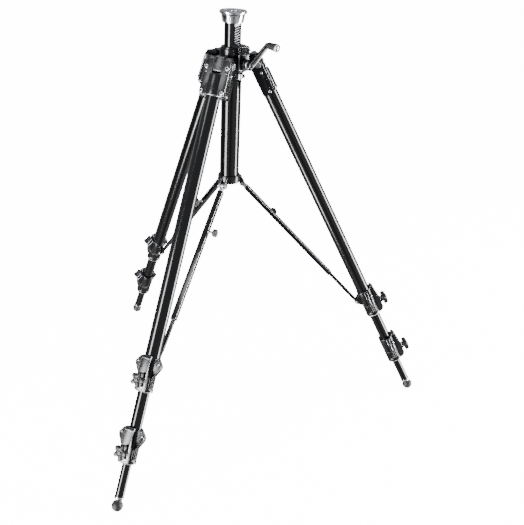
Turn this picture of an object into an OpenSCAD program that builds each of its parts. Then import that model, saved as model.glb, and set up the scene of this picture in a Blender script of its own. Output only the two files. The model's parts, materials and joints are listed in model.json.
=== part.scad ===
// Camera tripod with a geared centre column, standing on three two-lock telescopic legs.
// Millimetres. +Z is up, the origin is on the floor under the column's axis.
// Leg B points along +X, leg C and leg A follow it at 120 degree steps.

/* [Stance] */
// Angle of each leg from the vertical
leg_angle = 27.4; // [25:0.1:30]
// Distance of the leg pivots from the column's axis
pivot_r = 52.4; // [50:0.2:58]
// Length along a leg from its pivot to the centre of its foot ball
leg_len = 955.2; // [930:1:980]
// Radius of the rubber foot ball
foot_r = 12.5; // [11:0.5:14]

/* [Column and crown] */
// Outer radius of the column
column_r = 18.3; // [17:0.1:19]
// Inner radius of the column
column_bore_r = 12.8; // [10:0.2:13]
// Length of the column tube
column_len = 297; // [260:1:340]
// Height of the column's lower end above the sleeve's lower end
column_lift = 55; // [50:1:70]
// Radius of the crown's core
crown_r = 27.5; // [26.5:0.5:30]
// Height of the crown's core
crown_h = 51; // [48:1:56]
// Distance of the crown's lower face below the leg pivots
crown_drop = 18.6; // [16:0.2:20]
// Outer radius of the fixed sleeve under the crown
sleeve_r = 21.75; // [21.2:0.05:23]
// Wall of the fixed sleeve
sleeve_wall = 2.2; // [1.6:0.1:2.6]
// Length of the fixed sleeve below the crown
sleeve_len = 252; // [230:1:270]
// How far the sleeve reaches up into the crown
sleeve_seat = 8; // [5:1:12]

/* [Top plate] */
// Radius of the top plate
plate_r = 29.7; // [28:0.1:33]
// Thickness of the top plate's rim
plate_rim = 6.4; // [5:0.1:8]
// Height of the cup under the top plate
cup_h = 18.2; // [15:0.2:22]
// Radius of the cup where it meets the plate
cup_top_r = 25.6; // [24:0.1:27]
// Radius of the cup at its lower edge
cup_low_r = 22.6; // [20.5:0.1:23]
// Radius of the camera thread in the top plate, 3/8 inch
thread_r = 4.76; // [4.7:0.01:4.8]
// Depth of the camera thread
thread_depth = 12; // [8:0.5:14]

/* [Gear drive] */
// Pitch of the rack's teeth
gear_pitch = 5; // [4.8:0.05:5.2]
// Pitch radius of the worm
worm_r = 8; // [7.8:0.05:8.4]
// Height of a tooth above its pitch line
tooth_add = 1.4; // [1.2:0.05:1.5]
// Depth of a tooth below its pitch line
tooth_ded = 1.9; // [1.8:0.05:2.1]
// Share of the pitch that a tooth fills
tooth_share = 0.36; // [0.3:0.01:0.38]
// Radius at which the rack's pitch plane lies
rack_pitch_r = 16.7; // [16.6:0.05:16.8]
// Width of the rack
rack_w = 12; // [10:0.5:13]
// Width of the wheel's face
wheel_w = 12; // [9:0.5:13]
// Radius of the wheel's cross shaft
cross_shaft_r = 3; // [2.5:0.25:3.5]
// Radius of the crank's shaft
crank_shaft_r = 4; // [3.5:0.25:4.5]
// Height of the wheel's axis above the leg pivots
wheel_rise = 23.4; // [23:0.2:25]

/* [Crank] */
// Distance of the crank arm's inner face from the column's axis
crank_r = 68; // [67:0.5:72]
// Length of the crank arm between its two axes
crank_len = 57; // [50:1:57]
// Angle of the crank arm above the horizontal
crank_angle = 44; // [0:1:90]
// Thickness of the crank arm at the grip
crank_t = 7; // [5:0.5:8]
// Radius of the crank arm round its shaft
arm_hub_r = 6; // [5.5:0.1:8]
// Radius of the crank arm round the grip's spindle
arm_end_r = 5; // [4.5:0.1:7]
// Radius of the grip at its outer end
grip_r = 8.5; // [7:0.5:9]
// Length of the grip
grip_len = 28; // [24:1:55]

/* [Leg castings] */
// Half width of the casting
cast_half_w = 30; // [29:0.5:31]
// Half width of the gap in the casting that takes the crown's lug
lug_gap = 10.6; // [10:0.1:11.5]
// Depth of the casting behind the leg's axis
cast_back = 17; // [16.5:0.1:17.3]
// Depth of the casting in front of the leg's axis
cast_front = 9; // [8:0.5:10]
// Length of the casting below the pivot
cast_len = 71; // [66:1:76]
// Radius of the leg pivot pins
pivot_pin_r = 5; // [4:0.25:5.5]
// Distance below the pivot at which the upper tube starts
tube_start = 22; // [21:0.5:26]

/* [Leg tubes] */
// Outer radius of the upper tube
upper_r = 16; // [15.6:0.1:16.3]
// Outer radius of the middle tube
middle_r = 13; // [12.8:0.1:13.2]
// Outer radius of the lower tube
lower_r = 10; // [9.6:0.1:10.4]
// Wall of the leg tubes
tube_wall = 1.3; // [1.2:0.05:1.6]
// Distance from the top of the lower lock to the centre of the foot's ball
foot_span = 169.2; // [150:0.2:190]
// Distance from the centre of the foot's ball to the end of the lower tube
foot_neck = 17; // [15:0.5:20]
// Distance from the top of the upper lock to the top of the lower lock
lock_step = 155; // [150:1:165]
// Length of the middle tube
middle_len = 620; // [560:1:640]
// Length of the lower tube
lower_len = 600; // [540:1:620]

/* [Leg locks] */
// Length of a leg lock
lock_len = 75; // [70:1:78]
// Outer radius of a lock's barrel
barrel_r = 18; // [17.8:0.1:19]
// Half width across a lock's ears
ear_half_w = 30.5; // [30:0.5:33]
// Length of a lock's ears
ear_len = 43; // [40:1:46]
// Distance below the lock's top at which its ears start to narrow
ear_knee = 20; // [18:0.5:22]
// Distance of the lock knob below the lock's top
knob_drop = 46.5; // [44:0.5:49]
// Distance from the leg's axis to the face that the lock knob is screwed against
knob_seat = 29.5; // [28:0.5:31]
// Distance from tip to tip of the lock knob's wings
wing_span = 34; // [30:1:36]
// Thickness of the lock knob's wings
wing_t = 11; // [9:0.5:13]
// Wings on a lock knob
knob_wings = 5; // [3:1:6]
// Radius of a lock knob between its wings
knob_root_r = 10.4; // [9:0.1:12]

/* [Spreader] */
// Height of the spreader hub's ring
hub_h = 18; // [16:0.5:20]
// Outer radius of the spreader hub's ring
hub_r = 26; // [25.5:0.1:27]
// Distance of the strut pins from the column's axis
hub_pin_r = 30.3; // [30:0.1:32]
// Distance of the strut pins below the hub's top
hub_pin_drop = 21.5; // [20.5:0.5:23]
// Radius of the strut pins
strut_pin_r = 2.5; // [2:0.25:3]
// Distance of the strut's outer pivot below the top of the upper lock
bracket_drop = 24; // [19:1:31]
// Distance of the strut's outer pivot behind the leg's axis
bracket_back = 27; // [26.5:0.1:28]
// Half width of the strut's channel
channel_w = 6; // [5.5:0.1:6.5]
// Half height of the strut's channel
channel_h = 5.5; // [5:0.1:6]
// Wall of the strut's channel
channel_wall = 1.8; // [1.4:0.1:2]
// Share of the strut's length that the channel covers
channel_share = 0.75; // [0.72:0.01:0.78]
// Share of the strut's length at which its thumb screw sits
screw_share = 0.26; // [0.25:0.01:0.3]
// Radius of the strut's thumb knob
thumb_r = 9.2; // [8:0.2:10]

/* [Fits] */
// Radial clearance of a turning or sliding fit
run_gap = 0.05; // [0.03:0.01:0.09]
// Gap between parts that move past each other without touching
free_gap = 0.4; // [0.3:0.1:0.6]

/* [Hidden] */
$fn = 64;

// Directions of the three legs.
leg_a = 240;
leg_b = 0;
leg_c = 120;
legs = [leg_a, leg_b, leg_c];

// Direction of the crank and the rack, midway between two legs.
drive_az = 300;

// Direction of the clamping slot in the column's cup.
cup_slot_az = 247.5;

// Heights, worked up from the foot balls that stand on the floor.
pivot_z = foot_r + leg_len * cos(leg_angle);
crown_z = pivot_z - crown_drop;
crown_top = crown_z + crown_h;
sleeve_z = crown_z - sleeve_len;
column_z = sleeve_z + column_lift;
column_top = column_z + column_len;
plate_z = column_top + cup_h;
plate_top = plate_z + plate_rim;
wheel_z = pivot_z + wheel_rise;

// Places along a leg, worked up from the foot.
lock2_s = leg_len - foot_span;
lock1_s = lock2_s - lock_step;
bracket_s = lock1_s + bracket_drop;

// Gear drive. The wheel's phase on the worm holds for these two counts only.
wheel_teeth = 15;
worm_starts = 3;
wheel_r = gear_pitch * wheel_teeth / (2 * PI);
wheel_x = rack_pitch_r + wheel_r;
shaft_z = wheel_z - wheel_r - worm_r;
lead = gear_pitch * worm_starts;
helix = atan(lead / (2 * PI * worm_r));
rack_back_r = rack_pitch_r - tooth_ded - 0.4;
tooth_slope = 0.3;

// Spreader linkage, in the plane of a leg.
bracket_r = pivot_r + bracket_s * sin(leg_angle) - bracket_back * cos(leg_angle);
bracket_z = pivot_z - bracket_s * cos(leg_angle) - bracket_back * sin(leg_angle);
hub_top = sleeve_z + 14;
hub_z = hub_top - hub_h;
hub_pin_z = hub_top - hub_pin_drop;
strut_len = norm([bracket_r - hub_pin_r, bracket_z - hub_pin_z]);
strut_tilt = atan2(hub_pin_z - bracket_z, bracket_r - hub_pin_r);

// ---------------------------------------------------------------- placing and drawing

// The frame of a leg: origin at its pivot, X outwards, Y sideways, Z up along the leg.
module at_leg(az) {
    rotate([0, 0, az]) translate([pivot_r, 0, pivot_z]) rotate([0, -leg_angle, 0]) children();
}

// The frame of a strut: origin at its hub pin, X along the strut.
module at_strut(az) {
    rotate([0, 0, az]) translate([hub_pin_r, 0, hub_pin_z]) rotate([0, strut_tilt, 0]) children();
}

// The frame of the drive: X outwards along the crank's shaft, Z up.
module at_drive() {
    rotate([0, 0, drive_az]) children();
}

// Draws an outline given in X and Z, from side = low to side = high.
module side_plate(low, high) {
    translate([0, high, 0]) rotate([90, 0, 0]) linear_extrude(high - low) children();
}

// Draws an outline given in Y and Z, from x = low to x = high.
module face_plate(low, high) {
    translate([low, 0, 0]) rotate([90, 0, 90]) linear_extrude(high - low) children();
}

// A round bar along Y.
module bar_y(r, low, high) {
    translate([0, high, 0]) rotate([90, 0, 0]) cylinder(r = r, h = high - low);
}

// A round bar along X.
module bar_x(r, low, high) {
    translate([low, 0, 0]) rotate([0, 90, 0]) cylinder(r = r, h = high - low);
}

// A tube about Z.
module tube(r_out, r_in, low, high) {
    translate([0, 0, low]) difference() {
        cylinder(r = r_out, h = high - low);
        translate([0, 0, -1]) cylinder(r = r_in, h = high - low + 2);
    }
}

// A box between two corners.
module block(low, high) {
    translate(low) cube(high - low);
}

// A rectangle with round corners, between two corners.
module round_rect(low, high, r) {
    translate([low[0] + r, low[1]]) square([high[0] - low[0] - 2 * r, high[1] - low[1]]);
    translate([low[0], low[1] + r]) square([high[0] - low[0], high[1] - low[1] - 2 * r]);
    for (x = [low[0] + r, high[0] - r], y = [low[1] + r, high[1] - r])
        translate([x, y]) circle(r = r);
}

// ---------------------------------------------------------------- head

lug_w = 20.4;
lug_floor = tube_start - 1.2;
lug_r = lug_floor - 1.4;
lug_face = 12;
core_neck = 3.5;
wheel_tip_r = wheel_r + tooth_add;
worm_tip_r = worm_r + tooth_add;
pocket_w = worm_tip_r + 0.8;
pocket_x = wheel_x + wheel_tip_r + 1;
case_wall = 2.6;
case_w = pocket_w + case_wall;
case_x = pocket_x + case_wall;
boss_r = 10.5;
boss_x = crank_r - 9;
web_w = 5;
cover_lap = 1;
cover_w = case_w + cover_lap;
cover_z = pivot_z + cast_back + 2.6;
cover_top = wheel_z + wheel_tip_r + 0.8 + case_wall;
cross_cap_len = 13;

// The lug that carries one leg, as an outline in X and Z. Its outer face is flat and lies along the
// spread leg.
module lug_outline() {
    intersection() {
        union() {
            translate([pivot_r, pivot_z]) circle(r = lug_r);
            polygon([[crown_r - 8, crown_z], [pivot_r, pivot_z - lug_r],
                     [pivot_r, pivot_z + lug_r], [crown_r - 8, crown_top - 14]]);
        }
        translate([pivot_r, pivot_z]) rotate(leg_angle) translate([-2 * pivot_r, -2 * pivot_r])
            square([2 * pivot_r + lug_face, 4 * pivot_r]);
    }
}

// Cast crown: column guide, three leg lugs, the drive's case and the crank's boss.
module crown() {
    color("#26272a") difference() {
        union() {
            translate([0, 0, crown_z]) cylinder(r = crown_r, h = crown_h - core_neck);
            translate([0, 0, crown_z]) cylinder(r = crown_r - 3, h = crown_h);
            translate([0, 0, crown_z]) cylinder(r = crown_r + 5, h = 5);
            for (az = legs)
                rotate([0, 0, az]) side_plate(-lug_w / 2, lug_w / 2) lug_outline();
            at_drive() {
                block([0, -case_w, crown_z + 8], [case_x, case_w, crown_top]);
                translate([0, 0, shaft_z]) bar_x(boss_r, 0, boss_x);
                side_plate(-web_w, web_w)
                    polygon([[crown_r - 3, crown_z], [boss_x, shaft_z - boss_r + 1],
                             [boss_x, shaft_z], [crown_r - 3, shaft_z]]);
            }
        }
        translate([0, 0, crown_z - 1]) cylinder(r = column_r + run_gap, h = crown_h + 2);
        translate([0, 0, crown_z - 1]) cylinder(r = sleeve_r, h = sleeve_seat + 1);
        for (az = legs)
            rotate([0, 0, az]) translate([pivot_r, 0, pivot_z]) bar_y(pivot_pin_r, -lug_w, lug_w);
        at_drive() {
            block([0, -rack_w / 2 - free_gap, crown_z - 1],
                  [rack_pitch_r + tooth_add + free_gap, rack_w / 2 + free_gap, crown_top + 1]);
            translate([0, 0, shaft_z]) bar_x(pocket_w, 0, pocket_x);
            block([0, -pocket_w, shaft_z], [pocket_x, pocket_w, crown_top + 1]);
            translate([0, 0, shaft_z]) bar_x(crank_shaft_r + run_gap, 0, boss_x + 1);
            translate([wheel_x, 0, wheel_z]) bar_y(cross_shaft_r + run_gap, -case_w - 1, case_w + 1);
        }
    }
}

// Fixed sleeve that the column slides down in.
module sleeve_tube() {
    color("#1c1d20") tube(sleeve_r, sleeve_r - sleeve_wall, sleeve_z, crown_z + sleeve_seat);
}

collar_z = crown_z - 16;
collar_h = 14;
ear_x = sleeve_r + 8.2;
clamp_bolt_r = 2;

// Split clamp round the sleeve's top, with two ears that its screw pulls together.
module sleeve_collar() {
    color("#3a3b3e") difference() {
        union() {
            tube(sleeve_r + 3.6, sleeve_r, collar_z, collar_z + collar_h);
            at_drive() difference() {
                block([sleeve_r, -6, collar_z + 1], [ear_x + 4.2, 5, collar_z + collar_h - 1]);
                translate([0, 0, collar_z - 1]) cylinder(r = sleeve_r, h = collar_h + 2);
            }
        }
        at_drive() {
            block([sleeve_r - 1, -0.6, collar_z - 1], [ear_x + 6, 0.6, collar_z + collar_h + 1]);
            translate([ear_x, 0, collar_z + collar_h / 2])
                bar_y(clamp_bolt_r + run_gap, -7, 6);
        }
    }
}

// Small knob whose screw draws the clamp's ears together.
module column_lock_knob() {
    color("#1c1d20") at_drive() translate([ear_x, 0, collar_z + collar_h / 2]) {
        bar_y(clamp_bolt_r, -6, 6);
        bar_y(4.4, 5 + free_gap, 12.5);
    }
}

// Cover over the wheel, shaped as a box with a rounded top.
module gear_housing() {
    color("#2b2c2f") at_drive() difference() {
        face_plate(column_r + 2, case_x + cover_lap)
            round_rect([-cover_w, cover_z], [cover_w, cover_top], 6);
        block([0, -case_w, cover_z - 1], [case_x, case_w, crown_top]);
        block([0, -wheel_w / 2 - 1, cover_z - 1], [pocket_x, wheel_w / 2 + 1, cover_top - case_wall]);
        translate([0, 0, cover_z - 1]) cylinder(r = crown_r, h = crown_top - cover_z + 1);
        translate([0, 0, cover_z - 1]) cylinder(r = column_r + 1.2, h = cover_top);
        translate([wheel_x, 0, wheel_z]) bar_y(cross_shaft_r + free_gap, -cover_w - 1, cover_w + 1);
    }
}

// Half angle that a gear tooth takes at a radius.
function tooth_half(r) = (tooth_share * gear_pitch / 2 - tooth_slope * (r - wheel_r)) / r * 180 / PI;

wheel_outline = [
    for (i = [0 : wheel_teeth - 1], p = [[-1, -tooth_ded], [-1, tooth_add], [1, tooth_add], [1, -tooth_ded]])
        let (r = wheel_r + p[1], a = 180 + i * 360 / wheel_teeth + p[0] * tooth_half(r))
            [r * cos(a), r * sin(a)]
];

// Helical wheel on its cross shaft, with a cap on the shaft's end.
module worm_wheel() {
    turn = tan(helix) / wheel_r * 180 / PI;
    color("#c8b070") at_drive() translate([wheel_x, 0, wheel_z]) rotate([-90, 0, 0]) {
        translate([0, 0, -wheel_w / 2]) rotate([0, 0, -turn * wheel_w / 2])
            linear_extrude(wheel_w, twist = -turn * wheel_w, slices = 6) polygon(wheel_outline);
        translate([0, 0, -cover_w + 1]) cylinder(r = cross_shaft_r, h = 2 * cover_w + 3);
        translate([0, 0, cover_w + free_gap]) cylinder(r = 3.8, h = cross_cap_len);
    }
}

// Height of the worm's thread above its pitch line, at a share of one start's turn.
function thread_height(u) =
    let (off = abs(u - 0.5) * gear_pitch, flank = (tooth_share * gear_pitch / 2 - off) / tooth_slope)
        min(tooth_add, max(-tooth_ded, flank));

worm_steps = 12;
worm_outline = [
    for (i = [0 : worm_starts * worm_steps - 1])
        let (r = worm_r + thread_height((i % worm_steps) / worm_steps),
             a = i * 360 / (worm_starts * worm_steps))
            [r * cos(a), r * sin(a)]
];

// Crank shaft with the worm on its inner end.
module worm_shaft() {
    worm_len = 13;
    worm_x = wheel_x - worm_len / 2;
    // The thread's gap meets the wheel tooth that stands a quarter pitch past the lowest point.
    phase = (worm_x - wheel_x - gear_pitch / 4) / lead * 360;
    color("#b9bcc0") at_drive() translate([0, 0, shaft_z]) {
        translate([worm_x, 0, 0]) rotate([0, 90, 0]) rotate([0, 0, 180 + phase])
            linear_extrude(worm_len, twist = -worm_len / lead * 360, slices = 18)
                polygon(worm_outline);
        bar_x(crank_shaft_r, worm_x + worm_len - 0.5, crank_r + crank_t + 0.5);
        bar_x(crank_shaft_r + 1.4, worm_x + worm_len, pocket_x - free_gap);
        bar_x(4.8, crank_r + crank_t, crank_r + crank_t + 1.2);
    }
}

arm_taper = 34;

// Where the grip's spindle stands, from the crank's shaft.
module at_grip() {
    at_drive() translate([0, crank_len * cos(crank_angle), shaft_z + crank_len * sin(crank_angle)])
        children();
}

// Crank arm, thick at its hub and thinner from a little way out.
module crank_arm() {
    hub_x = boss_x + free_gap;
    face_x = crank_r + crank_t;
    color("#2a2b2e") difference() {
        at_drive() translate([0, 0, shaft_z]) rotate([crank_angle, 0, 0]) intersection() {
            face_plate(hub_x, face_x) {
                circle(r = arm_hub_r);
                translate([crank_len, 0]) circle(r = arm_end_r);
                polygon([[0, -arm_hub_r], [crank_len, -arm_end_r], [crank_len, arm_end_r],
                         [0, arm_hub_r]]);
            }
            translate([0, 0, -arm_hub_r - 1]) linear_extrude(2 * arm_hub_r + 2)
                polygon([[hub_x - 1, -arm_hub_r - 1], [hub_x - 1, arm_hub_r],
                         [hub_x, arm_hub_r], [crank_r, arm_taper],
                         [crank_r, crank_len + arm_end_r + 1],
                         [face_x + 1, crank_len + arm_end_r + 1], [face_x + 1, -arm_hub_r - 1]]);
        }
        at_drive() translate([0, 0, shaft_z]) bar_x(crank_shaft_r, boss_x - 1, crank_r + crank_t + 1);
        at_grip() bar_x(3, crank_r - 1, crank_r + crank_t + 1);
    }
}

grip_x = crank_r + crank_t + free_gap;

// Spindle that the grip turns on, with its silver end cap.
module grip_spindle() {
    color("#c9ccd0") at_grip() {
        bar_x(3, crank_r, grip_x + grip_len + 1);
        bar_x(grip_r - 0.4, grip_x + grip_len + free_gap, grip_x + grip_len + 4);
    }
}

// Ribbed grip of the crank, a little wider at its outer end.
module crank_grip() {
    color("#17181a") at_grip() difference() {
        translate([grip_x, 0, 0]) rotate([0, 90, 0])
            cylinder(r1 = grip_r - 1.4, r2 = grip_r, h = grip_len);
        bar_x(3 + run_gap, grip_x - 1, grip_x + grip_len + 1);
    }
}

socket_depth = 10;
spigot_r = 8;

// Column tube, with a channel for its rack and a flat panel.
module column_tube() {
    color("#1c1d20") difference() {
        tube(column_r, column_bore_r, column_z, column_top + socket_depth);
        at_drive()
            block([rack_back_r, -rack_w / 2, column_z - 1],
                  [column_r + 1, rack_w / 2, column_top]);
        rotate([0, 0, drive_az - 40])
            block([column_r - 0.5, -4, column_z - 1], [column_r + 1, 4, column_top]);
    }
}

// Rack with slanted teeth, let into the column's channel.
module column_rack() {
    first = ceil((column_z - wheel_z) / gear_pitch) + 1;
    last = floor((column_top - wheel_z) / gear_pitch) - 1;
    gap = (1 - tooth_share) * gear_pitch / 2;
    color("#b4b7bb") at_drive() difference() {
        block([rack_back_r, -rack_w / 2, column_z],
              [rack_pitch_r + tooth_add, rack_w / 2, column_top]);
        for (i = [first : last])
            translate([rack_pitch_r, 0, wheel_z + i * gear_pitch]) rotate([helix, 0, 0])
                side_plate(-rack_w, rack_w) polygon([
                    for (p = [[-tooth_ded, -1], [tooth_add + 0.5, -1], [tooth_add + 0.5, 1], [-tooth_ded, 1]])
                        [p[0], p[1] * (gap + tooth_slope * p[0]) * cos(helix)]
                ]);
    }
}

// Cup that joins the column to the top plate.
module column_cup() {
    lip = 1.5;
    color("#cfd2d6") difference() {
        union() {
            translate([0, 0, column_top + lip])
                cylinder(r1 = cup_low_r, r2 = cup_top_r, h = cup_h - lip);
            translate([0, 0, column_top]) cylinder(r1 = cup_low_r - lip, r2 = cup_low_r, h = lip);
        }
        translate([0, 0, column_top - 1]) cylinder(r = column_r, h = socket_depth + 1);
        translate([0, 0, plate_top - thread_depth - 1]) cylinder(r = spigot_r, h = cup_h);
        rotate([0, 0, cup_slot_az])
            block([cup_low_r - 1, -1.3, column_top + 4], [cup_top_r + 2, 1.3, column_top + cup_h - 4]);
    }
}

recess = 1.2;
screw_ring_r = 18;

// Top plate with its threaded spigot.
module top_plate() {
    chamfer = 1.2;
    color("#d6d9dc") difference() {
        union() {
            translate([0, 0, plate_z]) cylinder(r1 = plate_r - 2, r2 = plate_r, h = 2);
            translate([0, 0, plate_z + 2]) cylinder(r = plate_r, h = plate_rim - 2 - chamfer);
            translate([0, 0, plate_top - chamfer])
                cylinder(r1 = plate_r, r2 = plate_r - chamfer, h = chamfer);
            translate([0, 0, plate_top - thread_depth - 1])
                cylinder(r = spigot_r, h = thread_depth - recess);
        }
        translate([0, 0, plate_top - recess]) tube(plate_r - 4, spigot_r, 0, recess + 1);
        translate([0, 0, plate_top - thread_depth]) cylinder(r = thread_r, h = thread_depth + 1);
        for (az = legs) rotate([0, 0, az + 30])
            translate([screw_ring_r, 0, plate_z - 1]) cylinder(r = 1.5, h = plate_rim + 2);
    }
}

// Three screws that hold the plate on the cup.
module plate_screws() {
    color("#8d9095") for (az = legs) rotate([0, 0, az + 30])
        translate([screw_ring_r, 0, plate_z + 1]) {
            cylinder(r = 1.5, h = plate_rim - recess - 1);
            translate([0, 0, plate_rim - recess - 1]) cylinder(r = 2.6, h = recess - 0.3);
        }
}

// Pins through the crown's lugs that the leg castings turn on.
module leg_pivot_pins() {
    color("#a8abaf") for (az = legs) rotate([0, 0, az]) translate([pivot_r, 0, pivot_z])
        bar_y(pivot_pin_r, -cast_half_w - 0.6, cast_half_w + 0.6);
}

fork_gap = 4.4;
fork_t = 4;

// Ring on the sleeve's foot, with a fork for each strut.
module spreader_hub() {
    color("#34353a") difference() {
        union() {
            translate([0, 0, hub_z]) cylinder(r = hub_r, h = hub_h);
            for (az = legs) rotate([0, 0, az]) side_plate(-fork_gap - fork_t, fork_gap + fork_t) {
                translate([hub_pin_r, hub_pin_z]) circle(r = 6);
                polygon([[hub_r - 3, hub_z + hub_h - 4], [hub_r + 2, hub_z + hub_h - 4],
                         [hub_pin_r + 6, hub_pin_z], [hub_pin_r - 6, hub_pin_z],
                         [hub_r - 3, hub_z]]);
            }
        }
        translate([0, 0, hub_z - 20]) cylinder(r = column_r + 1.2, h = hub_h + 30);
        translate([0, 0, sleeve_z]) cylinder(r = sleeve_r, h = hub_h);
        for (az = legs) rotate([0, 0, az]) {
            block([hub_pin_r - 6.5, -fork_gap, hub_pin_z - 10],
                  [hub_pin_r + 10, fork_gap, hub_z + hub_h + 1]);
            translate([hub_pin_r, 0, hub_pin_z]) bar_y(strut_pin_r, -12, 12);
        }
    }
}

// Pins that join the struts to the hub's forks, with their heads.
module hub_pins() {
    color("#c9ccd0") for (az = legs) rotate([0, 0, az]) translate([hub_pin_r, 0, hub_pin_z]) {
        bar_y(strut_pin_r, -fork_gap - fork_t - 1, fork_gap + fork_t + 1);
        for (side = [-1, 1]) translate([0, side * (fork_gap + fork_t + 0.7), 0])
            bar_y(4, -0.7, 0.7);
    }
}

// ---------------------------------------------------------------- legs

cover_x = cast_front + 0.2;
flange_x = 14;
cover_barrel_r = upper_r + 3.5;
cast_screw_y = 24;
cast_screw_s = [9, 61];
cast_round = cast_back + 0.5;

// Side outline of a casting, in X and Z of the leg's frame.
module cast_outline(front) {
    intersection() {
        translate([-cast_back, -cast_len]) square([cast_back + front, cast_len + cast_round]);
        union() {
            circle(r = cast_round);
            round_rect([-cast_back, -cast_len], [cast_back, 0], 5);
            translate([-cast_back, -8]) square([2 * cast_back, 8]);
        }
    }
}

// Space in the middle of the casting for the crown's lug.
module lug_space() {
    translate([-cast_back - 6, -lug_gap, -lug_floor])
        cube([2 * cast_back + 14, 2 * lug_gap, lug_floor + 2 * cast_round]);
    bar_y(lug_floor, -lug_gap, lug_gap);
}

// Leg casting: two cheeks on the pivot pin, and a slit clamp on the upper tube.
module leg_casting(az) {
    color("#2b2c2f") at_leg(az) difference() {
        union() {
            side_plate(-cast_half_w, cast_half_w) cast_outline(cast_front);
            bar_y(8, -cast_half_w - 0.8, cast_half_w + 0.8);
        }
        lug_space();
        translate([0, 0, -cast_len - 1]) cylinder(r = upper_r, h = cast_len + 1 - tube_start);
        bar_y(pivot_pin_r + run_gap, -cast_half_w - 2, cast_half_w + 2);
        for (side = [-1, 1]) block_slit(side);
        cast_screw_places() bar_x(2, -2, cast_front + 1);
    }
}

// The clamp's slit on one side of the casting.
module block_slit(side) {
    translate([0.8, side > 0 ? 0 : -cast_half_w - 2, -cast_len - 1])
        cube([1, cast_half_w + 2, cast_len + 1 - tube_start]);
}

// The places of the four screws that hold the cover.
module cast_screw_places() {
    for (y = [-cast_screw_y, cast_screw_y], s = cast_screw_s) translate([0, y, -s]) children();
}

// Cover plate on the casting's outer face, bulged over the tube.
module leg_cover(az) {
    color("#333438") at_leg(az) difference() {
        intersection() {
            side_plate(-cast_half_w, cast_half_w) cast_outline(cast_back);
            union() {
                face_plate(cover_x, flange_x)
                    round_rect([-cast_half_w, -cast_len + 2], [cast_half_w, cast_round], 6);
                translate([0, 0, -cast_len + 4]) intersection() {
                    cylinder(r = cover_barrel_r, h = cast_len - 4 - tube_start);
                    translate([cover_x, -cast_half_w, 0]) cube([20, 2 * cast_half_w, cast_len]);
                }
            }
        }
        lug_space();
        translate([0, 0, -cast_len - 1]) cylinder(r = upper_r, h = cast_len + 1 - tube_start);
        cast_screw_places() bar_x(2, 0, flange_x + 1);
    }
}

ear_screw_s = 11.5;
ear_screw_y = 23.5;
ear_x0 = -2;
ear_x1 = 12;

// A silver socket screw that stands on a face at x.
module face_screw(x, head_r) {
    difference() {
        union() {
            bar_x(2, x - 9, x + 1);
            bar_x(head_r, x, x + 2.6);
        }
        translate([x + 1, 0, 0]) rotate([0, 90, 0]) cylinder(r = head_r * 0.5, h = 3, $fn = 6);
    }
}

// The two screws in a lock's ears.
module ear_screws(s0) {
    for (side = [-1, 1]) translate([0, side * ear_screw_y, -s0 - ear_screw_s])
        face_screw(ear_x1, 3.6);
}

// The screws of a leg's casting and upper lock.
module leg_screws(az) {
    color("#cfd2d6") at_leg(az) {
        cast_screw_places() face_screw(flange_x, 4.2);
        ear_screws(lock1_s);
    }
}

// A tube of the leg, from one distance along it to another.
module leg_pipe(r, s0, s1) {
    tube(r, r - tube_wall, -s1, -s0);
}

barrel_lip = 14;
upper_end = lock1_s + lock_len - barrel_lip;
middle_end = lock2_s + lock_len - barrel_lip;
lower_end = leg_len - foot_neck;
guide_len = 18;

// Upper tube of a leg.
module leg_upper_tube(az) {
    color("#1c1d20") at_leg(az) leg_pipe(upper_r, tube_start, upper_end);
}

// Middle tube of a leg, with the guide ring on its upper end.
module leg_middle_tube(az) {
    top = middle_end - middle_len;
    color("#1c1d20") at_leg(az) {
        leg_pipe(middle_r, top, middle_end);
        tube(upper_r - tube_wall - run_gap, middle_r - tube_wall, -top - guide_len, -top);
    }
}

// Lower tube of a leg, with the guide ring on its upper end.
module leg_lower_tube(az) {
    top = lower_end - lower_len;
    color("#1c1d20") at_leg(az) {
        leg_pipe(lower_r, top, lower_end);
        tube(middle_r - tube_wall - run_gap, lower_r - tube_wall, -top - guide_len, -top);
    }
}

// Rubber foot: a ball on a neck that is plugged into the lower tube.
module leg_foot(az) {
    plug = 18;
    color("#17181a") at_leg(az) {
        translate([0, 0, -leg_len]) sphere(r = foot_r);
        translate([0, 0, -leg_len]) cylinder(r = foot_r * 0.55, h = leg_len - lower_end + 1);
        translate([0, 0, -lower_end]) cylinder(r = lower_r - tube_wall, h = plug);
    }
}

// Outline of a lock's two ears, in Y and Z below the lock's top.
module ear_outline() {
    for (side = [-1, 1]) polygon([
        [0, 0], [side * (ear_half_w - 9), 0], [side * (ear_half_w - 4), -4],
        [side * ear_half_w, -14], [side * (ear_half_w - 1), -ear_knee],
        [side * (barrel_r - 1), -ear_len], [0, -ear_len]
    ]);
}

// Side outline of a lock's outer shell, in X and Z below the lock's top.
module shell_outline() {
    polygon([
        [0, -lock_len], [knob_seat - 12, -lock_len], [knob_seat - 4, -lock_len + 4],
        [knob_seat, -lock_len + 12], [knob_seat, -knob_drop + 8], [knob_seat - 4, -2],
        [knob_seat - 7, 4], [knob_seat - 11, 4], [upper_r + 0.5, 0], [0, 0]
    ]);
}

shell_half_w = 12;
stem_r = 4.5;

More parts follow.
